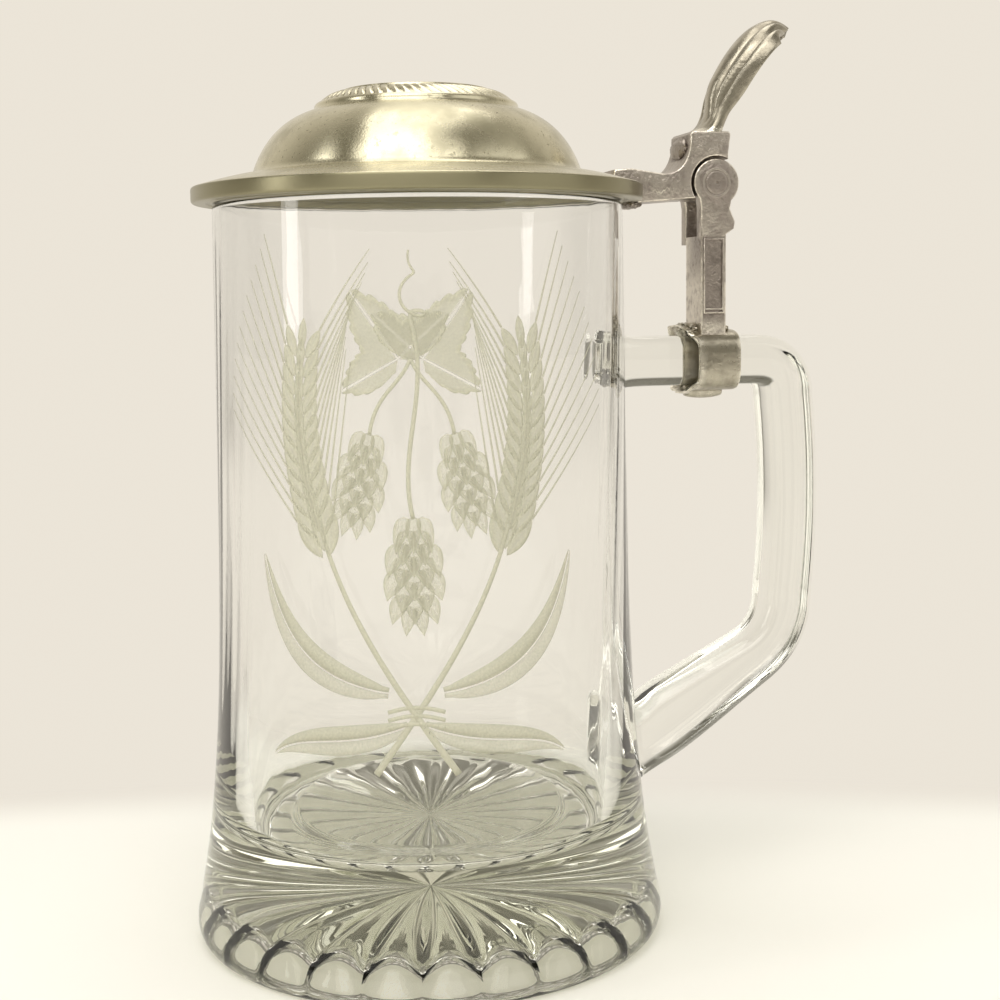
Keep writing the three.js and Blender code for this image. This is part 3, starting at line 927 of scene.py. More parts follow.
@dataclass
class EtchedDesign:
    """A frosted spray of barley and hops on the front of the mug, drawn as thin film."""

    mug: GlassMug
    facing_deg: float = -103.0
    lift: float = 0.03
    film: float = 0.05
    finish: Frost = field(default_factory=Frost)

    def on_wall(self, flat: Array, above: Array | float = 0.0) -> Array:
        """Roll flat points, across and up, on the outer wall so that lengths stay true.

        The angle about the axis is the distance across over the radius.

        Args:
            flat: Points with across and height in the last axis.
            above: Further distance from the wall.

        Returns:
            Points with X, Y and Z in the last axis.
        """
        radius = self.mug.outer_radius(flat[..., 1]) + self.lift + above
        angle = math.radians(self.facing_deg) + flat[..., 0] / radius
        return around(radius, angle, flat[..., 1])

    @staticmethod
    def almonds(centre: Array, heading: Array, length: Array, width: Array, point: float) -> Array:
        """Draw pointed ovals: half width is sin(pi u)^point along u, for many at once.

        Args:
            centre: Middles, one per row.
            heading: Directions of their length, in radians.
            length: Lengths.
            width: Full widths.
            point: Exponent; smaller is blunter.

        Returns:
            Patch by row by column by 2.
        """
        u = np.linspace(0, 1, 13)[None, :, None]
        v = np.linspace(-1, 1, 5)[None, None, :]
        ahead = np.asarray(length).reshape(-1, 1, 1) * (u - 0.5) + 0 * v
        side = 0.5 * np.asarray(width).reshape(-1, 1, 1) * np.sin(math.pi * u) ** point * v
        c, s = (f(heading).reshape(-1, 1, 1) for f in (np.cos, np.sin))
        middle = centre[:, None, None, :]
        return middle + np.stack([c * ahead - s * side, s * ahead + c * side], -1)

    @staticmethod
    def ribbon(path: Array, width: Array | float) -> Array:
        """Widen a path into a strip: its points moved to both sides by half the width."""
        side = along(path)[1] * 0.5 * np.broadcast_to(width, len(path))[:, None]
        return np.stack([path + side, path, path - side], 1)

    def stroke(self, draft: Draft, path: Array, width: Array | float, mark: float = 0.95) -> None:
        """Draw a path on the wall as a strip of film."""
        draft.grid(self.on_wall(self.ribbon(path, width)), mark=mark)

    def ear(self, draft: Draft, side: float) -> None:
        """Draw one ear of barley with its stem, grains and awns, on one side.

        Three rows of grains follow a Bezier spine, the middle one along it and the others leaning out.

        Args:
            draft: Takes the film.
            side: 1 for the right and -1 for the left.
        """
        mirror = np.array([side, 1.0])
        stem = bezier([[-7.5, 43], [3, 58], [13, 72], [17.5, 88]], 40) * mirror
        self.stroke(draft, stem, np.linspace(1.3, 0.8, 40))
        spine = bezier([[17.5, 86], [21.5, 99], [22.5, 108], [20.5, 121]], 12)
        run = np.gradient(spine, axis=0)
        heading = np.arctan2(run[:, 1], run[:, 0])
        for hand in (-1.0, 0.0, 1.0):
            lean = heading - hand * 0.42
            out = np.stack([np.sin(heading), -np.cos(heading)], 1) * hand * 2.35
            ahead = np.stack([np.cos(heading), np.sin(heading)], 1) * (1.4 * (1 - abs(hand)))
            centre = spine + out + ahead
            size = np.linspace(8.2, 6.0, 12)
            grains = self.almonds(centre, lean, size, size * (0.36 - 0.06 * (1 - abs(hand))), 0.75)
            rib = 0.62 + 0.38 * np.abs(np.linspace(-1, 1, 5))
            draft.grid(self.on_wall(grains * mirror), mark=rib[None, None, :])
            if hand:
                self.awns(draft, centre, lean, size, mirror)

    def awns(self, draft: Draft, centre: Array, lean: Array, size: Array, mirror: Array) -> None:
        """Draw the long bristles that leave the grains' tips and bend with the ear.

        Along its share u each one bends aside with u^2, and its width falls evenly.

        Args:
            draft: Takes the film.
            centre: The grains' middles, one per row.
            lean: Their directions, in radians.
            size: Their lengths.
            mirror: Factors across and up that put them on one side.
        """
        u = np.linspace(0, 1, 14)[None, :, None]
        v = np.array([-1.0, 0.0, 1.0])[None, None, :]
        c, s = np.cos(lean).reshape(-1, 1, 1), np.sin(lean).reshape(-1, 1, 1)
        length = np.linspace(27, 17, len(centre)).reshape(-1, 1, 1)
        ahead = 0.5 * size.reshape(-1, 1, 1) + length * u + 0 * v
        bend = -1.6 * c * u**2 + 0.5 * (0.42 - 0.27 * u) * v
        tip = np.stack([c * ahead - s * bend, s * ahead + c * bend], -1) + centre[:, None, None, :]
        draft.grid(self.on_wall(tip * mirror), mark=0.85)

    def blade(self, draft: Draft, points: Array, width: float, side: float) -> None:
        """Draw a long barley leaf as two halves with a clear line between them.

        Each half's width follows sin(pi u^0.7)^0.8 along the share u of the Bezier midrib.

        Args:
            draft: Takes the film.
            points: Control points of the leaf's midrib.
            width: Its greatest width.
            side: 1 for the right and -1 for the left.
        """
        path = bezier(points, 36)
        u = np.linspace(0, 1, 36)
        half = 0.25 * width * np.sin(math.pi * np.clip(u, 0.02, 1) ** 0.7) ** 0.8 + 0.04
        _, normal = along(path)
        for hand, mark in ((1.0, 0.85), (-1.0, 0.5)):
            strip = path + normal * hand * (half + 0.14)[:, None]
            draft.grid(self.on_wall(self.ribbon(strip, 2 * half) * np.array([side, 1.0])), mark=mark)

    def cone(self, draft: Draft, top: Array, length: float, width: float, tilt: float) -> None:
        """Draw a hop cone: rows of pointed scales that overlap like tiles and narrow to its tip.

        A scale's half width follows u^0.4 (1 - u)^1.05 along its share u, and the cone's girth follows
        a power of a sine along its length.

        Args:
            draft: Takes the film.
            top: Where the cone hangs from.
            length: Its length.
            width: Its greatest width.
            tilt: Angle from straight down, in radians.
        """
        u, v = np.linspace(0, 1, 15)[None, :, None], np.linspace(-1, 1, 9)[None, None, :]
        rows = np.repeat(np.arange(8), 3)
        place = np.where(rows % 2, np.tile([-0.5, 0.5, 9.0], 8), np.tile([-1.0, 0.0, 1.0], 8))
        rows, place = rows[place < 2], place[place < 2]
        share = (rows / 8.6).reshape(-1, 1, 1)
        girth = 0.5 * width * np.sin(math.pi * (0.2 + 0.74 * share)) ** 0.8
        place = place.reshape(-1, 1, 1)
        kite = (u**0.4 * (1 - u) ** 1.05) / 0.5
        down = length * (share + 0.34 * u * (1 - 0.25 * share)) + 0 * v
        across = place * girth * (0.5 + 0.5 * u) + 0.52 * girth * kite * v
        c, s = math.cos(tilt), math.sin(tilt)
        flat = top + np.stack([c * across + s * down, s * across - c * down], -1)
        rim = np.maximum(np.abs(v) ** 3, u**4)
        vein = np.exp(-((v / 0.16) ** 2))
        above = 0.012 * (8 - rows).reshape(-1, 1, 1)
        draft.grid(self.on_wall(flat, above), mark=0.34 + 0.5 * rim + 0.22 * vein * u + 0 * share)

    def hop_leaf(self, draft: Draft, root: Array, size: float, turn: float) -> None:
        """Draw a toothed hop leaf of three pointed lobes, clear along its veins.

        The margin falls from each lobe's tip as a power of the angle from it, with fine teeth.

        Args:
            draft: Takes the film.
            root: Where the stalk joins it.
            size: Length of its middle lobe.
            turn: Direction of that lobe, in radians.
        """
        angle = np.linspace(-2.35, 2.35, 181)
        tips = np.array([-1.45, 0.0, 1.45])
        off = np.min(np.abs(angle[:, None] - tips), axis=1)
        margin = 0.46 + 0.54 * (1 - np.clip(off / 0.72, 0, 1)) ** 1.25
        margin *= (1 - 0.2 * smooth(np.abs(angle), 0.6, 1.4)) * (0.96 + 0.07 * np.abs(np.sin(20 * angle)))
        margin *= 1 - 0.55 * smooth(np.abs(angle), 1.7, 2.35)
        ring = np.linspace(0.03, 1, 18)[:, None]
        radius = size * ring * margin
        flat = np.stack([radius * np.cos(angle + turn), radius * np.sin(angle + turn)], -1) + root
        vein = smooth(off * ring * size, 0.12, 0.5)
        rim = smooth(ring, 0.8, 1.0)
        draft.grid(self.on_wall(flat), mark=vein * (0.55 + 0.45 * rim))

    def build(self) -> None:
        """Build the spray, thicken it into a thin film and dress it."""
        draft = Draft()
        for side in (1.0, -1.0):
            self.ear(draft, side)
            self.blade(draft, [[5, 58], [21, 60], [27, 68], [31, 82]], 5.6, side)
            self.blade(draft, [[1.5, 52], [14, 47], [22, 50], [29, 45]], 5.0, side)
            self.hop_leaf(draft, np.array([2.2 * side, 118.0]), 15.0, math.pi / 2 - 0.62 * side)
            self.cone(draft, np.array([7.6 * side, 105.0]), 18.0, 9.0, 0.22 * side)
            stalk = bezier([[0, 118], [2 * side, 113], [6.5 * side, 112], [7.6 * side, 104.5]], 20)
            self.stroke(draft, stalk, 0.7)
        self.cone(draft, np.array([0.0, 90.0]), 20.0, 10.0, 0.0)
        bine = np.vstack([bezier([[0, 89.5], [-3, 102], [4, 112], [0, 125]], 24), [[0.2, 126]]])
        self.stroke(draft, bine, 0.8)
        t = np.linspace(0, 1, 90)
        swing = [3.0 * (1 - t) * np.sin(11 * t), 124 + 13 * t + 2.2 * (1 - t) * np.cos(11 * t)]
        self.stroke(draft, np.stack(swing, 1), np.linspace(0.7, 0.35, 90))
        tie = np.stack([np.linspace(-5.2, 5.2, 20), 51.5 + 0.9 * np.cos(np.linspace(-1.6, 1.6, 20))], 1)
        for step in (0.0, 1.5, 3.0):
            self.stroke(draft, tie + [0, step], 0.75, mark=1.0)
        film = draft.make("etched_design", recalculate=False)
        thick = film.modifiers.new("film", "SOLIDIFY")
        thick.thickness, thick.offset = self.film * MM, 1.0
        dress(film, self.finish.material(), Body.MUG, Slot.GLASS)


@dataclass
class Lid:
    """The spun lid and the medallion on its crown."""

    bottom: float = 147.3
    flange_radius: float = 44.5
    flange_edge: float = 3.1
    dome_foot: float = 153.3
    dome_radius: float = 32.3
    dome_top: float = 165.2
    crown_radius: float = 20.3
    wall: float = 1.8
    medallion_radius: float = 20.1
    medallion_foot: float = 165.5
    medallion_height: float = 3.8
    strokes: int = 64
    columns: int = 240

    def build_shell(self) -> Draft:
        """Draft the lid: flange with rolled edges, sloping ledge, fillet, dome, crown and hollow.

        The profile, of arcs and Bezier curves, is turned about the Z axis. A sine along its sloping
        underside gives the rings there.

        Returns:
            The draft.
        """
        edge, top, low = self.flange_radius, self.bottom + self.flange_edge, self.bottom
        side, foot, crest = self.dome_radius, self.dome_foot, self.dome_top
        inside = crest - self.wall
        turn = np.linspace(0, math.pi / 2, 6)
        lower = np.stack([edge - 0.6 + 0.6 * np.sin(turn), low + 0.6 - 0.6 * np.cos(turn)], 1)
        upper = np.stack([edge - 0.55 + 0.55 * np.cos(turn), top - 0.55 + 0.55 * np.sin(turn)], 1)
        toe, heel = [side + 0.9, foot - 0.5], [side - 0.25, foot + 1.0]
        ledge = bezier([[edge - 0.6, top], [side + 5, top + 2.0], toe], 18)
        fillet = bezier([toe, [side + 0.1, foot - 0.25], heel], 8)
        dome = bezier([heel, [side - 3.7, crest - 2.2], [self.crown_radius, crest]], 30)
        crown = np.array([[self.crown_radius - 6.0, crest + 0.05], [0.0, crest + 0.05]])
        outside = np.vstack([lower, upper, ledge[1:], fillet[1:], dome[1:], crown])
        start = [side - self.wall, foot - 0.4]
        inner = bezier([start, [side - 5.6, crest - 4.1], [self.crown_radius, inside]], 20)[::-1]
        groove = [[40.9, 0.25], [41.4, 0.25], [41.7, 0.0]]
        seat = np.array([[37.6, 0.7], [37.9, 0.15], [38.4, 0.0], [40.6, 0.0], *groove]) + [0.0, low]
        steps = np.linspace(0, 1, 40)[:, None]
        rings = np.array([0.0, 0.22]) * np.sin(steps * 7 * math.pi)
        cone = inner[-1] + (seat[0] - inner[-1]) * steps + rings
        under = np.vstack([[[0.0, inside]], inner[:-1], cone[:-1], seat])
        band = len(lower) + len(upper) - 3
        # Painted shade: the hollow underside is marked -1 and the flange's rolled edge -0.95, which darkens
        # both.
        marks = [np.full(len(under), -1.0), np.full(band, -0.95), np.zeros(len(outside) - band)]
        profile = np.vstack([under, outside])
        return Draft().turned(profile, self.columns, mark=np.concatenate(marks)[:, None])

    def build_medallion(self) -> Draft:
        """Draft the medallion: plain ring, rope border of slanting strokes, low domed face.

        The border's height adds |sin(n a / 2 + slant)| to a half-round section.

        Returns:
            The draft.
        """
        angle = full_turn(self.strokes * 8)
        foot, radius = self.medallion_foot, self.medallion_radius
        side = np.linspace(0, 1.2, 9)
        ring = np.stack([radius - 0.9 + 0.9 * np.cos(side), foot + 0.25 + 0.95 * np.sin(side)], 1)
        solder = [[0.0, foot], [radius - 0.4, foot - 0.28], [radius + 0.5, foot - 0.5]]
        edge = np.vstack([solder, [[radius + 0.08, foot]], ring])
        t = np.linspace(0, 1, 15)
        start, end = ring[-1] - [0.2, 0.08], np.array([15.0, foot + 3.2])
        border = start + (end - start) * t[:, None] + np.stack([0 * t, 0.35 * np.sin(math.pi * t)], 1)
        level = [[14.8, 3.1], [14.6, 3.55], [14.1, 3.68], [10.0, 3.7], [5.0, 3.76]]
        face = np.array([*level, [0.0, self.medallion_height]]) + [0, foot]
        profile = np.vstack([edge, border, face])
        height = np.repeat(profile[:, 1:], len(angle), axis=1)
        rows = slice(len(edge), len(edge) + len(border))
        slant = t[:, None] * 5.6
        stroke = np.abs(np.sin(angle[None, :] * self.strokes / 2 + slant)) ** 0.7
        height[rows] += 0.55 * np.sin(math.pi * t)[:, None] ** 0.5 * (stroke - 0.6)
        mark = np.zeros_like(height)
        # The rope's grooves are marked below nought as painted shade, its crests above nought as wear with
        # a painted highlight.
        mark[rows] = 1.3 * stroke - 0.7
        return Draft().grid(around(profile[:, :1], angle, height), wrap_cols=True, mark=mark)

    def build(self, satin: bpy.types.Material) -> None:
        """Build both pieces and dress them.

        Args:
            satin: The lid's finish.
        """
        shell = self.build_shell().make("lid_cap", 30.0)
        dress(shell, satin, Body.LID, Slot.SATIN, "lid_shell")
        medallion = self.build_medallion().make("crown_medallion", 42.0)
        dress(medallion, satin, Body.LID, Slot.SATIN, "lid_medallion")


@dataclass
class LidLever:
    """The strut that carries the lid on the hinge, and the thumb lift on its block."""

    half_width: float = 6.15
    knuckle_half: float = 2.9
    knuckle_radius: float = 4.3
    recess: float = 5.35
    web: float = 0.55
    flange_radius: float = 44.5
    flange_top: float = 150.4
    leaf_seat: float = 161.7
    leaf_rise: float = 20.4
    leaf_reach: float = 16.6
    leaf_dip: float = 1.6
    leaf_thickness: float = 3.0
    leaf_crown: float = 3.0
    leaf_crown_share: float = 0.6

    def side_outline(self) -> Array:
        """Give the strut's side view: lap on the flange, bar, fillet, block and the cheek's arc.

        Returns:
            Points in X and Z, one per row.
        """
        x, z = HINGE[0], HINGE[2]
        foot, edge = x - self.recess - self.web, self.flange_radius
        under = [[edge - 0.6, z - 4.0], [edge - 6.0, self.flange_top + 0.9]]
        lap = [*under, [edge - 5.6, z + 2.5], [edge - 2.0, z + 2.75]]
        fillet = bezier([[foot - 5.4, z + 1.75], [foot - 0.8, z + 1.55], [foot + 0.3, z + 7.4]], 12)
        inner = [[foot + 0.35, z + 9.7], [foot + 0.9, z + 10.25]]
        block = [*inner, [x + 2.6, z + 10.25], [x + 3.0, z + 9.7], [x + 2.5, z + 5.9]]
        arc = pin_arc(self.recess, np.radians(np.linspace(62, 216, 26)))
        return np.vstack([lap, fillet, block, arc, [[foot + 0.1, z - 3.2]]])

    def build_strut(self) -> bpy.types.Object:
        """Make the strut: side plate, knuckle and web fused into one, with cast lumps and solder.

        Returns:
            The fused object.
        """
        bar = Draft().plate(self.side_outline(), -self.half_width, self.half_width, 0.32)
        strut = bar.make("lid_lever")
        ring = pin_arc(self.knuckle_radius, full_turn(60))
        web = np.array([[-6.2, -3.0], [-2.0, -3.6], [2.0, 3.0], [1.4, 6.2], [-5.8, 5.2]]) + HINGE[[0, 2]]
        for name, outline, bevel in (("knuckle", ring, 0.2), ("web", web, 0.1)):
            middle = Draft().plate(outline, -self.knuckle_half, self.knuckle_half, bevel)
            fuse(strut, middle.make(name))
        lumps = [
            (HINGE + [-5.6, 0.4, 6.8], (1.5, 4.2, 2.4), 8),
            (np.array([43.4, -3.4, 147.0]), (2.0, 1.7, 0.8), 3),
            (np.array([43.7, 0.4, 146.9]), (1.7, 2.2, 0.7), 5),
            (np.array([43.5, 3.7, 147.0]), (1.7, 1.5, 0.7), 6),
        ]
        add_lumps(strut, lumps)
        shade(strut, 38.0)
        return strut

    def build_scratch(self) -> Draft:
        """Draft a bright squiggle worn into the strut's near face: a strip along two sines.

        Returns:
            The draft.
        """
        t = np.linspace(0, 1, 48)
        x = HINGE[0] - 14.2 + 4.2 * t
        z = HINGE[2] - 1.9 + 0.32 * np.sin(9 * t) + 0.14 * np.sin(31 * t) + 0.5 * t**2
        half = 0.13 * (0.5 + np.sin(math.pi * t))
        y = np.full_like(t, -self.half_width - 0.012)
        edges = [np.stack([x, y, z - half], 1), np.stack([x, y, z + half], 1)]
        return Draft().grid(np.stack(edges), mark=1.0)

    def build_leaf(self) -> Draft:
        """Draft the thumb lift: an arched leaf of five lobes, carried along its spine.

        Across the share s from -1 to 1, drawn in to p = s |s|^0.7 so that the middle lobe is the
        broadest, the lobes rise as |sin(2.5 pi (p + 1))|^0.6 and the arch falls with s^2. Towards the
        tip the grooves and edges draw back, which leaves a lobed end.

        Returns:
            The draft.
        """
        x, z, rows = HINGE[0], self.leaf_seat, 130
        reach, rise, dip = self.leaf_reach, self.leaf_rise, self.leaf_dip
        stem = [[x, z - 1.5], [x + 0.18 * reach, z + 0.36 * rise]]
        controls = [*stem, [x + 0.62 * reach, z + rise + dip], [x + reach, z + rise - dip]]
        spine = even(bezier(controls, 400), rows)
        u = np.linspace(0, 1, rows)[:, None]
        run, up = along(spine)
        angle = full_turn(144)[None, :]
        share, face = np.cos(angle), np.sin(angle)
        petal = np.sqrt(1 - np.clip((u - 0.72) / 0.31, 0, 1) ** 2)
        half = 0.5 * (11.5 + 6.5 * smooth(u, 0.1, 0.7)) * petal
        drawn = share * np.abs(share) ** 0.7
        lobes = np.abs(np.sin(2.5 * math.pi * (drawn + 1))) ** 0.6
        front, grow = smooth(face, -0.2, 0.4), smooth(u, 0.05, 0.28)
        arch = self.leaf_crown * (self.leaf_crown_share - share**2) * smooth(u, 0.1, 0.4)
        root = 2.9 * front * np.exp(-u / 0.075) * (1 - 0.5 * share**2)
        lift = grow * (arch + (1.15 * front + 0.25) * (lobes - 0.62) * petal) + root
        back = -smooth(u, 0.8, 1.0) * (1.7 * share**2 + 0.5 * (1 - lobes))
        slim = 0.5 * self.leaf_thickness * (1 - 0.45 * smooth(u, 0.9, 1.0))
        thick = slim * np.sign(face) * np.abs(face) ** 0.6 + lift
        flat = spine[:, None, :] + thick[..., None] * up[:, None, :] + back[..., None] * run[:, None, :]
        points = np.stack([flat[..., 0], np.broadcast_to(half * share, thick.shape), flat[..., 1]], -1)
        points[..., 2] = np.maximum(points[..., 2], z - 0.25)
        # A painted highlight runs along the seam with the block; the lobes' crests get wear with a painted
        # highlight and their grooves painted shade.
        seam_highlight = smooth(points[..., 2] - z, 1.1, 0.2) * smooth(share, 0.2, -0.6)
        crest_wear_and_groove_shade = (0.25 * smooth(lobes, 0.85, 1.0) - 0.9 * smooth(lobes, 0.6, 0.2)) * front * grow
        return Draft().loft(points, mark=np.maximum(crest_wear_and_groove_shade, seam_highlight))

    def build(self, cast: bpy.types.Material, pale: bpy.types.Material) -> None:
        """Build the pieces and dress them.

        Args:
            cast: The strut's finish.
            pale: The leaf's finish.
        """
        dress(self.build_strut(), cast, Body.LID, Slot.CAST, "lid_strut")
        dress(self.build_scratch().make("strut_scratch", recalculate=False), cast, Body.LID, Slot.CAST)
        dress(self.build_leaf().make("thumb_leaf", 55.0), pale, Body.LID, Slot.SATIN, "thumb_lift")


@dataclass
class HingeMount:
    """The post, pin and collar that hold the hinge on the handle."""

    half_width: float = 6.15
    slot_half: float = 3.2
    cheek_radius: float = 4.8
    pin_proud: float = 0.25
    inner: float = 57.2
    outer: float = 62.6
    chamfer: float = 2.4
    slot_floor: float = 140.5
    collar_start: float = 56.1
    collar_length: float = 9.4
    collar_z: float = 115.2
    collar_half_width: float = 7.7
    collar_half_height: float = 6.3
    squareness: float = 3.4

    def collar_top(self, y: Array) -> Array:
        """Give the height of the collar's rounded top at a Y, from its superellipse."""
        rest = 1 - np.abs(y / self.collar_half_width) ** self.squareness
        return self.collar_z + self.collar_half_height * rest ** (1 / self.squareness)

    def build_shank(self) -> Draft:
        """Draft the post's shank: a bar with a chamfered far edge, sunk a little in the collar.

        A rounded pentagon is carried up through four levels, and the lower two follow the collar's top.

        Returns:
            The draft.
        """
        w, cut = self.half_width, self.chamfer
        bevel = [[self.inner + cut, w], [self.inner, w - cut - 0.6]]
        corners = [[self.inner, -w], [self.outer, -w], [self.outer, w], *bevel]
        ring = rounded(corners, 0.35)
        # Corners are marked as wear with a painted highlight, and the flat faces between them, at 0.65,
        # carry a painted sheen.
        wear_and_sheen = np.tile([0.65, 1.0, 1.0, 1.0, 0.65], len(corners))
        foot = self.collar_top(ring[:, 1]) - 0.3
        levels = [foot, foot + 2.0, np.full_like(foot, 130.0), np.full_like(foot, self.slot_floor)]
        rings = np.stack([np.column_stack([ring, level]) for level in levels])
        return Draft().loft(rings, mark=wear_and_sheen[None, :])

    def build_post(self) -> bpy.types.Object:
        """Make the post: shank, two cheeks, a low ring on each and a blank raised frame.

        Returns:
            The fused object.
        """
        post = self.build_shank().make("hinge_upright")
        parts = []
        for side in (-1, 1):
            low, high = sorted((side * self.slot_half, side * self.half_width))
            parts += [Draft().plate(self.cheek_outline(), low, high, 0.3), self.ring(side)]
        for part in parts + self.frame_bars():
            fuse(post, part.make("part"))
        shade(post, 38.0)
        return post

    def cheek_outline(self) -> Array:
        """Give a cheek's side view: shank, stop bump and round head.

        Returns:
            Points in X and Z, one per row.
        """
        z, low = HINGE[2], self.slot_floor - 1.5
        bump = np.array([[0.0, -10.4], [1.7, -9.2], [1.9, -7.8], [0.8, -5.2]]) + [self.outer, z]
        head = pin_arc(self.cheek_radius, np.radians(np.linspace(-48, 222, 46)))
        return np.vstack([[[self.inner, low], [self.outer, low]], bump, head, [[self.inner, z - 4.8]]])

    def ring(self, side: int) -> Draft:
        """Draft the low ring that the pin's peening has raised on one cheek.

        A closed profile of radius and Y is turned about the hinge axis.

        Args:
            side: 1 for the far cheek and -1 for the near one.

        Returns:
            The draft.
        """
        rise = np.array([[2.45, -0.2], [2.5, 0.03], [2.7, 0.09], [2.95, 0.07], [3.15, -0.02], [3.15, -0.2]])
        profile = np.stack([rise[:, 0], side * (self.half_width + rise[:, 1])], 1)
        return Draft().turned_on_pin(profile, 72, mark=0.35, closed=True)

    def frame_bars(self) -> list[Draft]:
        """Draft the bars of the blank raised frame on the near face.

        Returns:
            One draft per bar.
        """
        z, bar = HINGE[2], 0.5
        left, right, top, low = self.inner + 0.45, self.outer - 0.5, z - 11.1, z - 26.4
        boxes = [
            (left, left + bar, low, top),
            (right - bar, right, low, top),
            (left, right, low, low + bar),
            (left + 0.3, right - 0.3, low + 0.75, low + 1.15),
            (left, right, top - bar, top),
        ]
        near = -self.half_width
        outlines = [np.array([[x0, z0], [x1, z0], [x1, z1], [x0, z1]]) for x0, x1, z0, z1 in boxes]
        return [Draft().plate(outline, near - 0.35, near + 0.4, 0.2) for outline in outlines]

    def build_pin(self) -> Draft:
        """Draft the pin: peened ends with a groove and a centre dimple.

        A profile of radius and Y is turned about the hinge axis.

        Returns:
            The draft.
        """
        half = self.half_width + self.pin_proud
        radius = np.array([0.0, 0.2, 0.34, 0.6, 1.9, 2.15, 2.32, 2.4])
        sunk = np.array([-0.4, -0.34, -0.1, -0.06, -0.02, -0.05, -0.14, -0.3])
        dot = np.array([1.0, 1.0, 0.7, 0.1, 0.1, 0.2, 0.2, 0.2])
        near = np.stack([radius, -half - sunk], 1)
        far = np.stack([radius, half + sunk], 1)[::-1]
        mark = np.concatenate([dot, dot[::-1]])[:, None]
        return Draft().turned_on_pin(np.vstack([near, far]), 64, mark=mark)

    def build_collar(self) -> bpy.types.Object:
        """Make the collar: a rounded band, with cast flash on its mug side, and a rib below.

        The band's section is a superellipse in Y and Z, carried along X. Its mug end runs out into a lip
        that is longest at the top and the bottom, where a seeded ripple makes it uneven.

        Returns:
            The fused object.
        """
        angle = full_turn(144)
        power = 2 / self.squareness
        c, s = np.cos(angle), np.sin(angle)
        ring = np.stack([np.sign(c) * np.abs(c) ** power, np.sign(s) * np.abs(s) ** power], 1)
        base = ring * np.array([self.collar_half_width, self.collar_half_height])
        out = np.stack([c, s], 1)
        top, low = smooth(s, 0.3, 0.95), smooth(-s, 0.5, 0.98)
        rough = (top + low) * ripple(angle, 5)
        lip = 0.3 + 1.9 * top + 1.6 * low + 0.4 * rough
        rise = 0.1 + 1.0 * top + 0.6 * low + 0.2 * (top + low) * ripple(2 * angle, 9)
        mouth = self.collar_start + 0.6 * (1 - top - low) * np.abs(c)
        end = self.collar_start + self.collar_length
        # The last number in each row is its mark: the rims at the lip and at the far end carry wear with a
        # painted highlight.
        rows = [
            (mouth - lip, rise - 0.3, 1.0),
            (mouth - 0.55 * lip, 0.8 * rise, 0.6),
            (mouth - 0.2 * lip, 0.35 * rise, 0.4),
            (mouth + 0.4, 0.05 * rise, 0.5),
            (mouth + 1.6, 0 * rise, 0.1),
            (0 * lip + end - 1.2, 0 * rise, 0.1),
            (0 * lip + end - 0.45, 0 * rise, 0.4),
            (0 * lip + end - 0.12, 0 * rise - 0.12, 1.0),
            (0 * lip + end, 0 * rise - 0.42, 0.6),
            (0 * lip + end, 0 * rise - 0.95, 0.0),
            (mouth + 0.3, 0 * rise - 0.95, 0.0),
            (mouth - 0.55 * lip, 0.8 * rise - 0.75, 0.2),
            (mouth - 0.97 * lip, rise - 0.65, 0.8),
        ]
        flats = [base + out * grow[:, None] for _, grow, _ in rows]
        places = [row[0] for row in rows]
        marks = np.array([row[2] for row in rows])[:, None]
        grid = [np.column_stack([x, f[:, 0], self.collar_z + f[:, 1]]) for x, f in zip(places, flats)]
        band = Draft().grid(np.stack(grid), wrap_rows=True, wrap_cols=True, mark=marks)
        collar = band.make("handle_band", 40.0)
        fuse(collar, self.rib().make("rib"))
        crest = self.collar_z + self.collar_half_height
        flash = [
            (np.array([self.inner - 1.2, 0.3, crest]), (2.1, 4.6, 1.5), 11),
            (np.array([self.outer + 0.5, -0.6, crest]), (1.3, 4.2, 1.2), 12),
        ]
        add_lumps(collar, flash)
        shade(collar, 40.0)
        return collar

    def rib(self) -> Draft:
        """Draft the rounded rib under the band: a round bar with tapered ends.

        Its radii follow sin(pi t)^0.25 along its length.

        Returns:
            The draft.
        """
        u = np.linspace(0, 1, 24)
        x = self.collar_start - 0.4 + (self.collar_length - 1.4) * u
        size = np.sin(math.pi * np.clip(0.06 + 0.88 * u, 0, 1)) ** 0.25
        turn = full_turn(24)
        y = 1.7 * size[:, None] * np.cos(turn)
        level = self.collar_z - self.collar_half_height - 0.1 + 1.6 * size[:, None] * np.sin(turn)
        return Draft().loft(np.stack(np.broadcast_arrays(x[:, None], y, level), -1), mark=0.3)

    def build(self, cast: bpy.types.Material, pale: bpy.types.Material) -> None:
        """Build the three pieces and dress them.

        Args:
            cast: The finish of post and pin.
            pale: The collar's finish.
        """
        dress(self.build_post(), cast, Body.MUG, Slot.CAST, "hinge_post")
        dress(self.build_pin().make("pin_rod", 30.0), cast, Body.MUG, Slot.CAST, "hinge_pin")
        dress(self.build_collar(), pale, Body.MUG, Slot.CAST, "handle_collar")


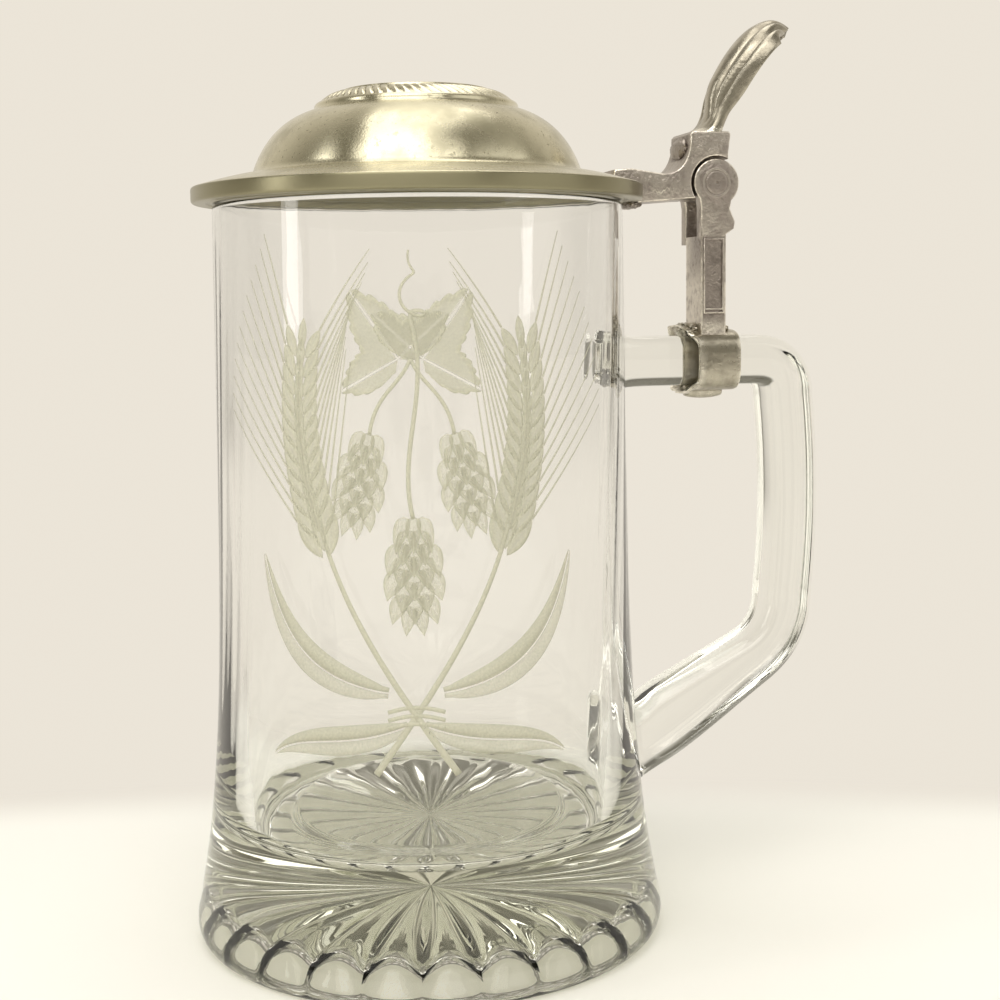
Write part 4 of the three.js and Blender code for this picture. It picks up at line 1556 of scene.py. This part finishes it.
@dataclass
class Studio:
    """The floor, world, lamps and camera."""

    wall: Colour = (0.835, 0.78, 0.685)
    table: Colour = (0.93, 0.91, 0.835)
    room: Colour = (0.2, 0.185, 0.14)
    sky: Colour = (1.0, 0.985, 0.96)
    lamp_tone: Colour = (1.0, 0.975, 0.93)
    level: float = 0.46
    table_radius: float = 0.6
    table_fade: tuple[float, float] = (0.068, 0.1)
    clear: tuple[float, float] = (0.45, 0.93)
    behind: tuple[float, float] = (-0.1, 0.2)
    mirrored: tuple[float, float] = (-0.2, 0.8)
    wall_end: tuple[float, float] = (0.12, 0.32)
    ceiling: tuple[float, float] = (0.6, 0.9)
    dark_reach: tuple[float, float] = (0.5, 0.9)
    ceiling_share: float = 0.6
    gloom_share: float = 0.75
    focal_px: float = 1642.0
    frame_px: float = 1000.0
    sensor_mm: float = 36.0
    pitch_deg: float = 6.93
    roll_deg: float = -0.73
    azimuth_deg: float = -13.0
    eye: Triple = (15.5, -331.1, 128.0)

    def build_floor(self) -> None:
        """Make the floor: a pale round table top that fades to the wall's colour behind the mug."""
        radius = np.concatenate([[0.001], np.geomspace(30, 6000, 40)])[:, None]
        points = around(radius, full_turn(96), -0.02)
        floor = Draft().grid(points, wrap_cols=True).make("floor", recalculate=False)
        material = bpy.data.materials.new("floor_paper")
        tree = Tree(material)
        middle = self.turn() @ Vector((0.0, -self.table_radius, 0.0))
        away = tree.vector("SUBTRACT", tree.place(), middle)
        near, past = (self.table_radius + margin for margin in self.table_fade)
        far = tree.vector("LENGTH", away, out="Value").rise(near, past)
        matt = {"Base Color": opaque(self.table), "Roughness": 0.9, "Specular IOR Level": 0.1}
        paper = tree.node("ShaderNodeBsdfPrincipled", inputs=matt)
        way = tree.vector("NORMALIZE", tree.place())
        reach = tree.vector("LENGTH", tree.place(), out="Value").rise(*self.dark_reach)
        dark = self.aside(self.ahead(tree, way)) * reach * tree.path("Is Transmission Ray")
        tone = tree.mix(dark, self.wall, self.gloom())
        glow = tree.node("ShaderNodeEmission", inputs={"Color": tone, "Strength": 1.0})
        tree.node("ShaderNodeOutputMaterial", inputs={"Surface": tree.blend(far, paper, glow)})
        floor.data.materials.append(material)

    def build_world(self) -> None:
        """Make the world: the wall for what is seen, a dim room for mirrors, a plain level else."""
        world = bpy.data.worlds.new("studio")
        bpy.context.scene.world = world
        tree = Tree(world)
        way = tree.node("ShaderNodeTexCoord", out="Generated")
        ahead = self.ahead(tree, way)
        lift = tree.node("ShaderNodeSeparateXYZ", inputs={0: way}, out="Z")
        room = tree.mix(ahead.rise(*self.mirrored), self.room, self.wall)
        level = tree.mix(self.aside(ahead), self.wall, self.gloom())
        above = tree.mix(lift.rise(*self.wall_end), level, self.gloom())
        pale = tuple(self.ceiling_share * c for c in self.wall)
        high = tree.mix(lift.rise(*self.ceiling), above, pale)
        inputs = {"Color": opaque(self.sky), "Strength": self.level}
        light = tree.node("ShaderNodeBackground", inputs=inputs)
        sights = {"Is Glossy Ray": room, "Is Transmission Ray": high, "Is Camera Ray": self.wall}
        for ray, colour in sights.items():
            inputs = {"Color": opaque(colour), "Strength": 1.0}
            light = tree.blend(tree.path(ray), light, tree.node("ShaderNodeBackground", inputs=inputs))
        tree.node("ShaderNodeOutputWorld", inputs={"Surface": light})

    def ahead(self, tree: Tree, way: Value) -> Value:
        """Give the cosine between a way and the way that the camera looks, on the level."""
        toward = self.turn() @ Vector((0, 1, 0))
        return tree.vector("DOT_PRODUCT", way, toward, out="Value")

    def aside(self, ahead: Value) -> Value:
        """Give how far a way lies in the two dark sectors, left and right of the wall ahead."""
        return (1.0 - ahead.rise(*self.clear)) * ahead.rise(*self.behind)

    def gloom(self) -> Colour:
        """Give the tone of the room's dark sides as the glass shows them."""
        return tuple(self.gloom_share * c for c in self.room)

    def turn(self) -> Matrix:
        """Give the turn from the camera's frame to the mug's."""
        return Matrix.Rotation(math.radians(self.azimuth_deg), 3, "Z")

    def lamp(
        self, name: str, at: Triple, aim: Triple, size: tuple[float, float], watts: float, tone: Colour
    ) -> None:
        """Hang one soft box.

        Args:
            name: The lamp's name.
            at: Its place in metres, in the camera's frame about the mug.
            aim: The point that it faces.
            size: Its width and height in metres.
            watts: Its power.
            tone: Its colour.
        """
        data = bpy.data.lights.new(name, "AREA")
        data.shape, data.size, data.size_y = "RECTANGLE", *size
        data.energy, data.color = watts, tone
        lamp = bpy.data.objects.new(name, data)
        place = self.turn() @ Vector(at)
        lamp.location = place
        lamp.rotation_euler = (self.turn() @ Vector(aim) - place).to_track_quat("-Z", "Y").to_euler()
        bpy.context.scene.collection.objects.link(lamp)

    def build_lamps(self) -> None:
        """Hang two ceiling panels that the lid mirrors, a window on the left and a lit wall right."""
        warm, crown, middle = self.lamp_tone, (0.0, 0.0, 0.16), (0.0, 0.0, 0.1)
        self.lamp("front_panel", (-0.05, -0.65, 0.75), crown, (1.1, 0.57), 3.7, warm)
        self.lamp("ceiling_panel", (-0.08, -0.12, 1.1), (-0.06, -0.05, 0.16), (0.62, 1.75), 6.6, warm)
        self.lamp("left_window", (-0.95, -0.35, 0.45), middle, (0.2, 0.9), 1.9, self.sky)
        self.lamp("right_wall", (0.9, -0.35, 0.6), crown, (0.8, 0.8), 1.7, warm)

    def build_camera(self) -> None:
        """Set the camera where the photograph was taken from."""
        pitch, roll = math.radians(self.pitch_deg), math.radians(self.roll_deg)
        right = Vector((1, 0, 0))
        up = Vector((0, math.sin(pitch), math.cos(pitch)))
        ahead = Vector((0, math.cos(pitch), -math.sin(pitch)))
        c, s = math.cos(roll), math.sin(roll)
        axes = Matrix((c * right + s * up, c * up - s * right, -ahead)).transposed()
        data = bpy.data.cameras.new("camera")
        data.sensor_width = self.sensor_mm
        data.lens = data.sensor_width * self.focal_px / self.frame_px
        data.clip_start, data.clip_end = 0.01, 50.0
        camera = bpy.data.objects.new("camera", data)
        place = Matrix.Translation(self.turn() @ Vector(self.eye) * MM)
        camera.matrix_world = place @ (self.turn() @ axes).to_4x4()
        bpy.context.scene.collection.objects.link(camera)
        bpy.context.scene.camera = camera

    def build(self) -> None:
        """Build the studio."""
        self.build_camera()
        self.build_floor()
        self.build_world()
        self.build_lamps()
        bpy.context.scene.view_settings.view_transform = "Standard"


def main() -> None:
    """Build the sub-assemblies in order."""
    logging.basicConfig(level=logging.INFO, format="%(name)s: %(message)s")
    Studio().build()
    satin, cast, pale = SATIN.material(), CAST.material(), PALE.material()
    mug = GlassMug()
    mug.build()
    EtchedDesign(mug).build()
    Lid().build(satin)
    LidLever().build(cast, pale)
    HingeMount().build(cast, pale)


if __name__ == "__main__":
    main()
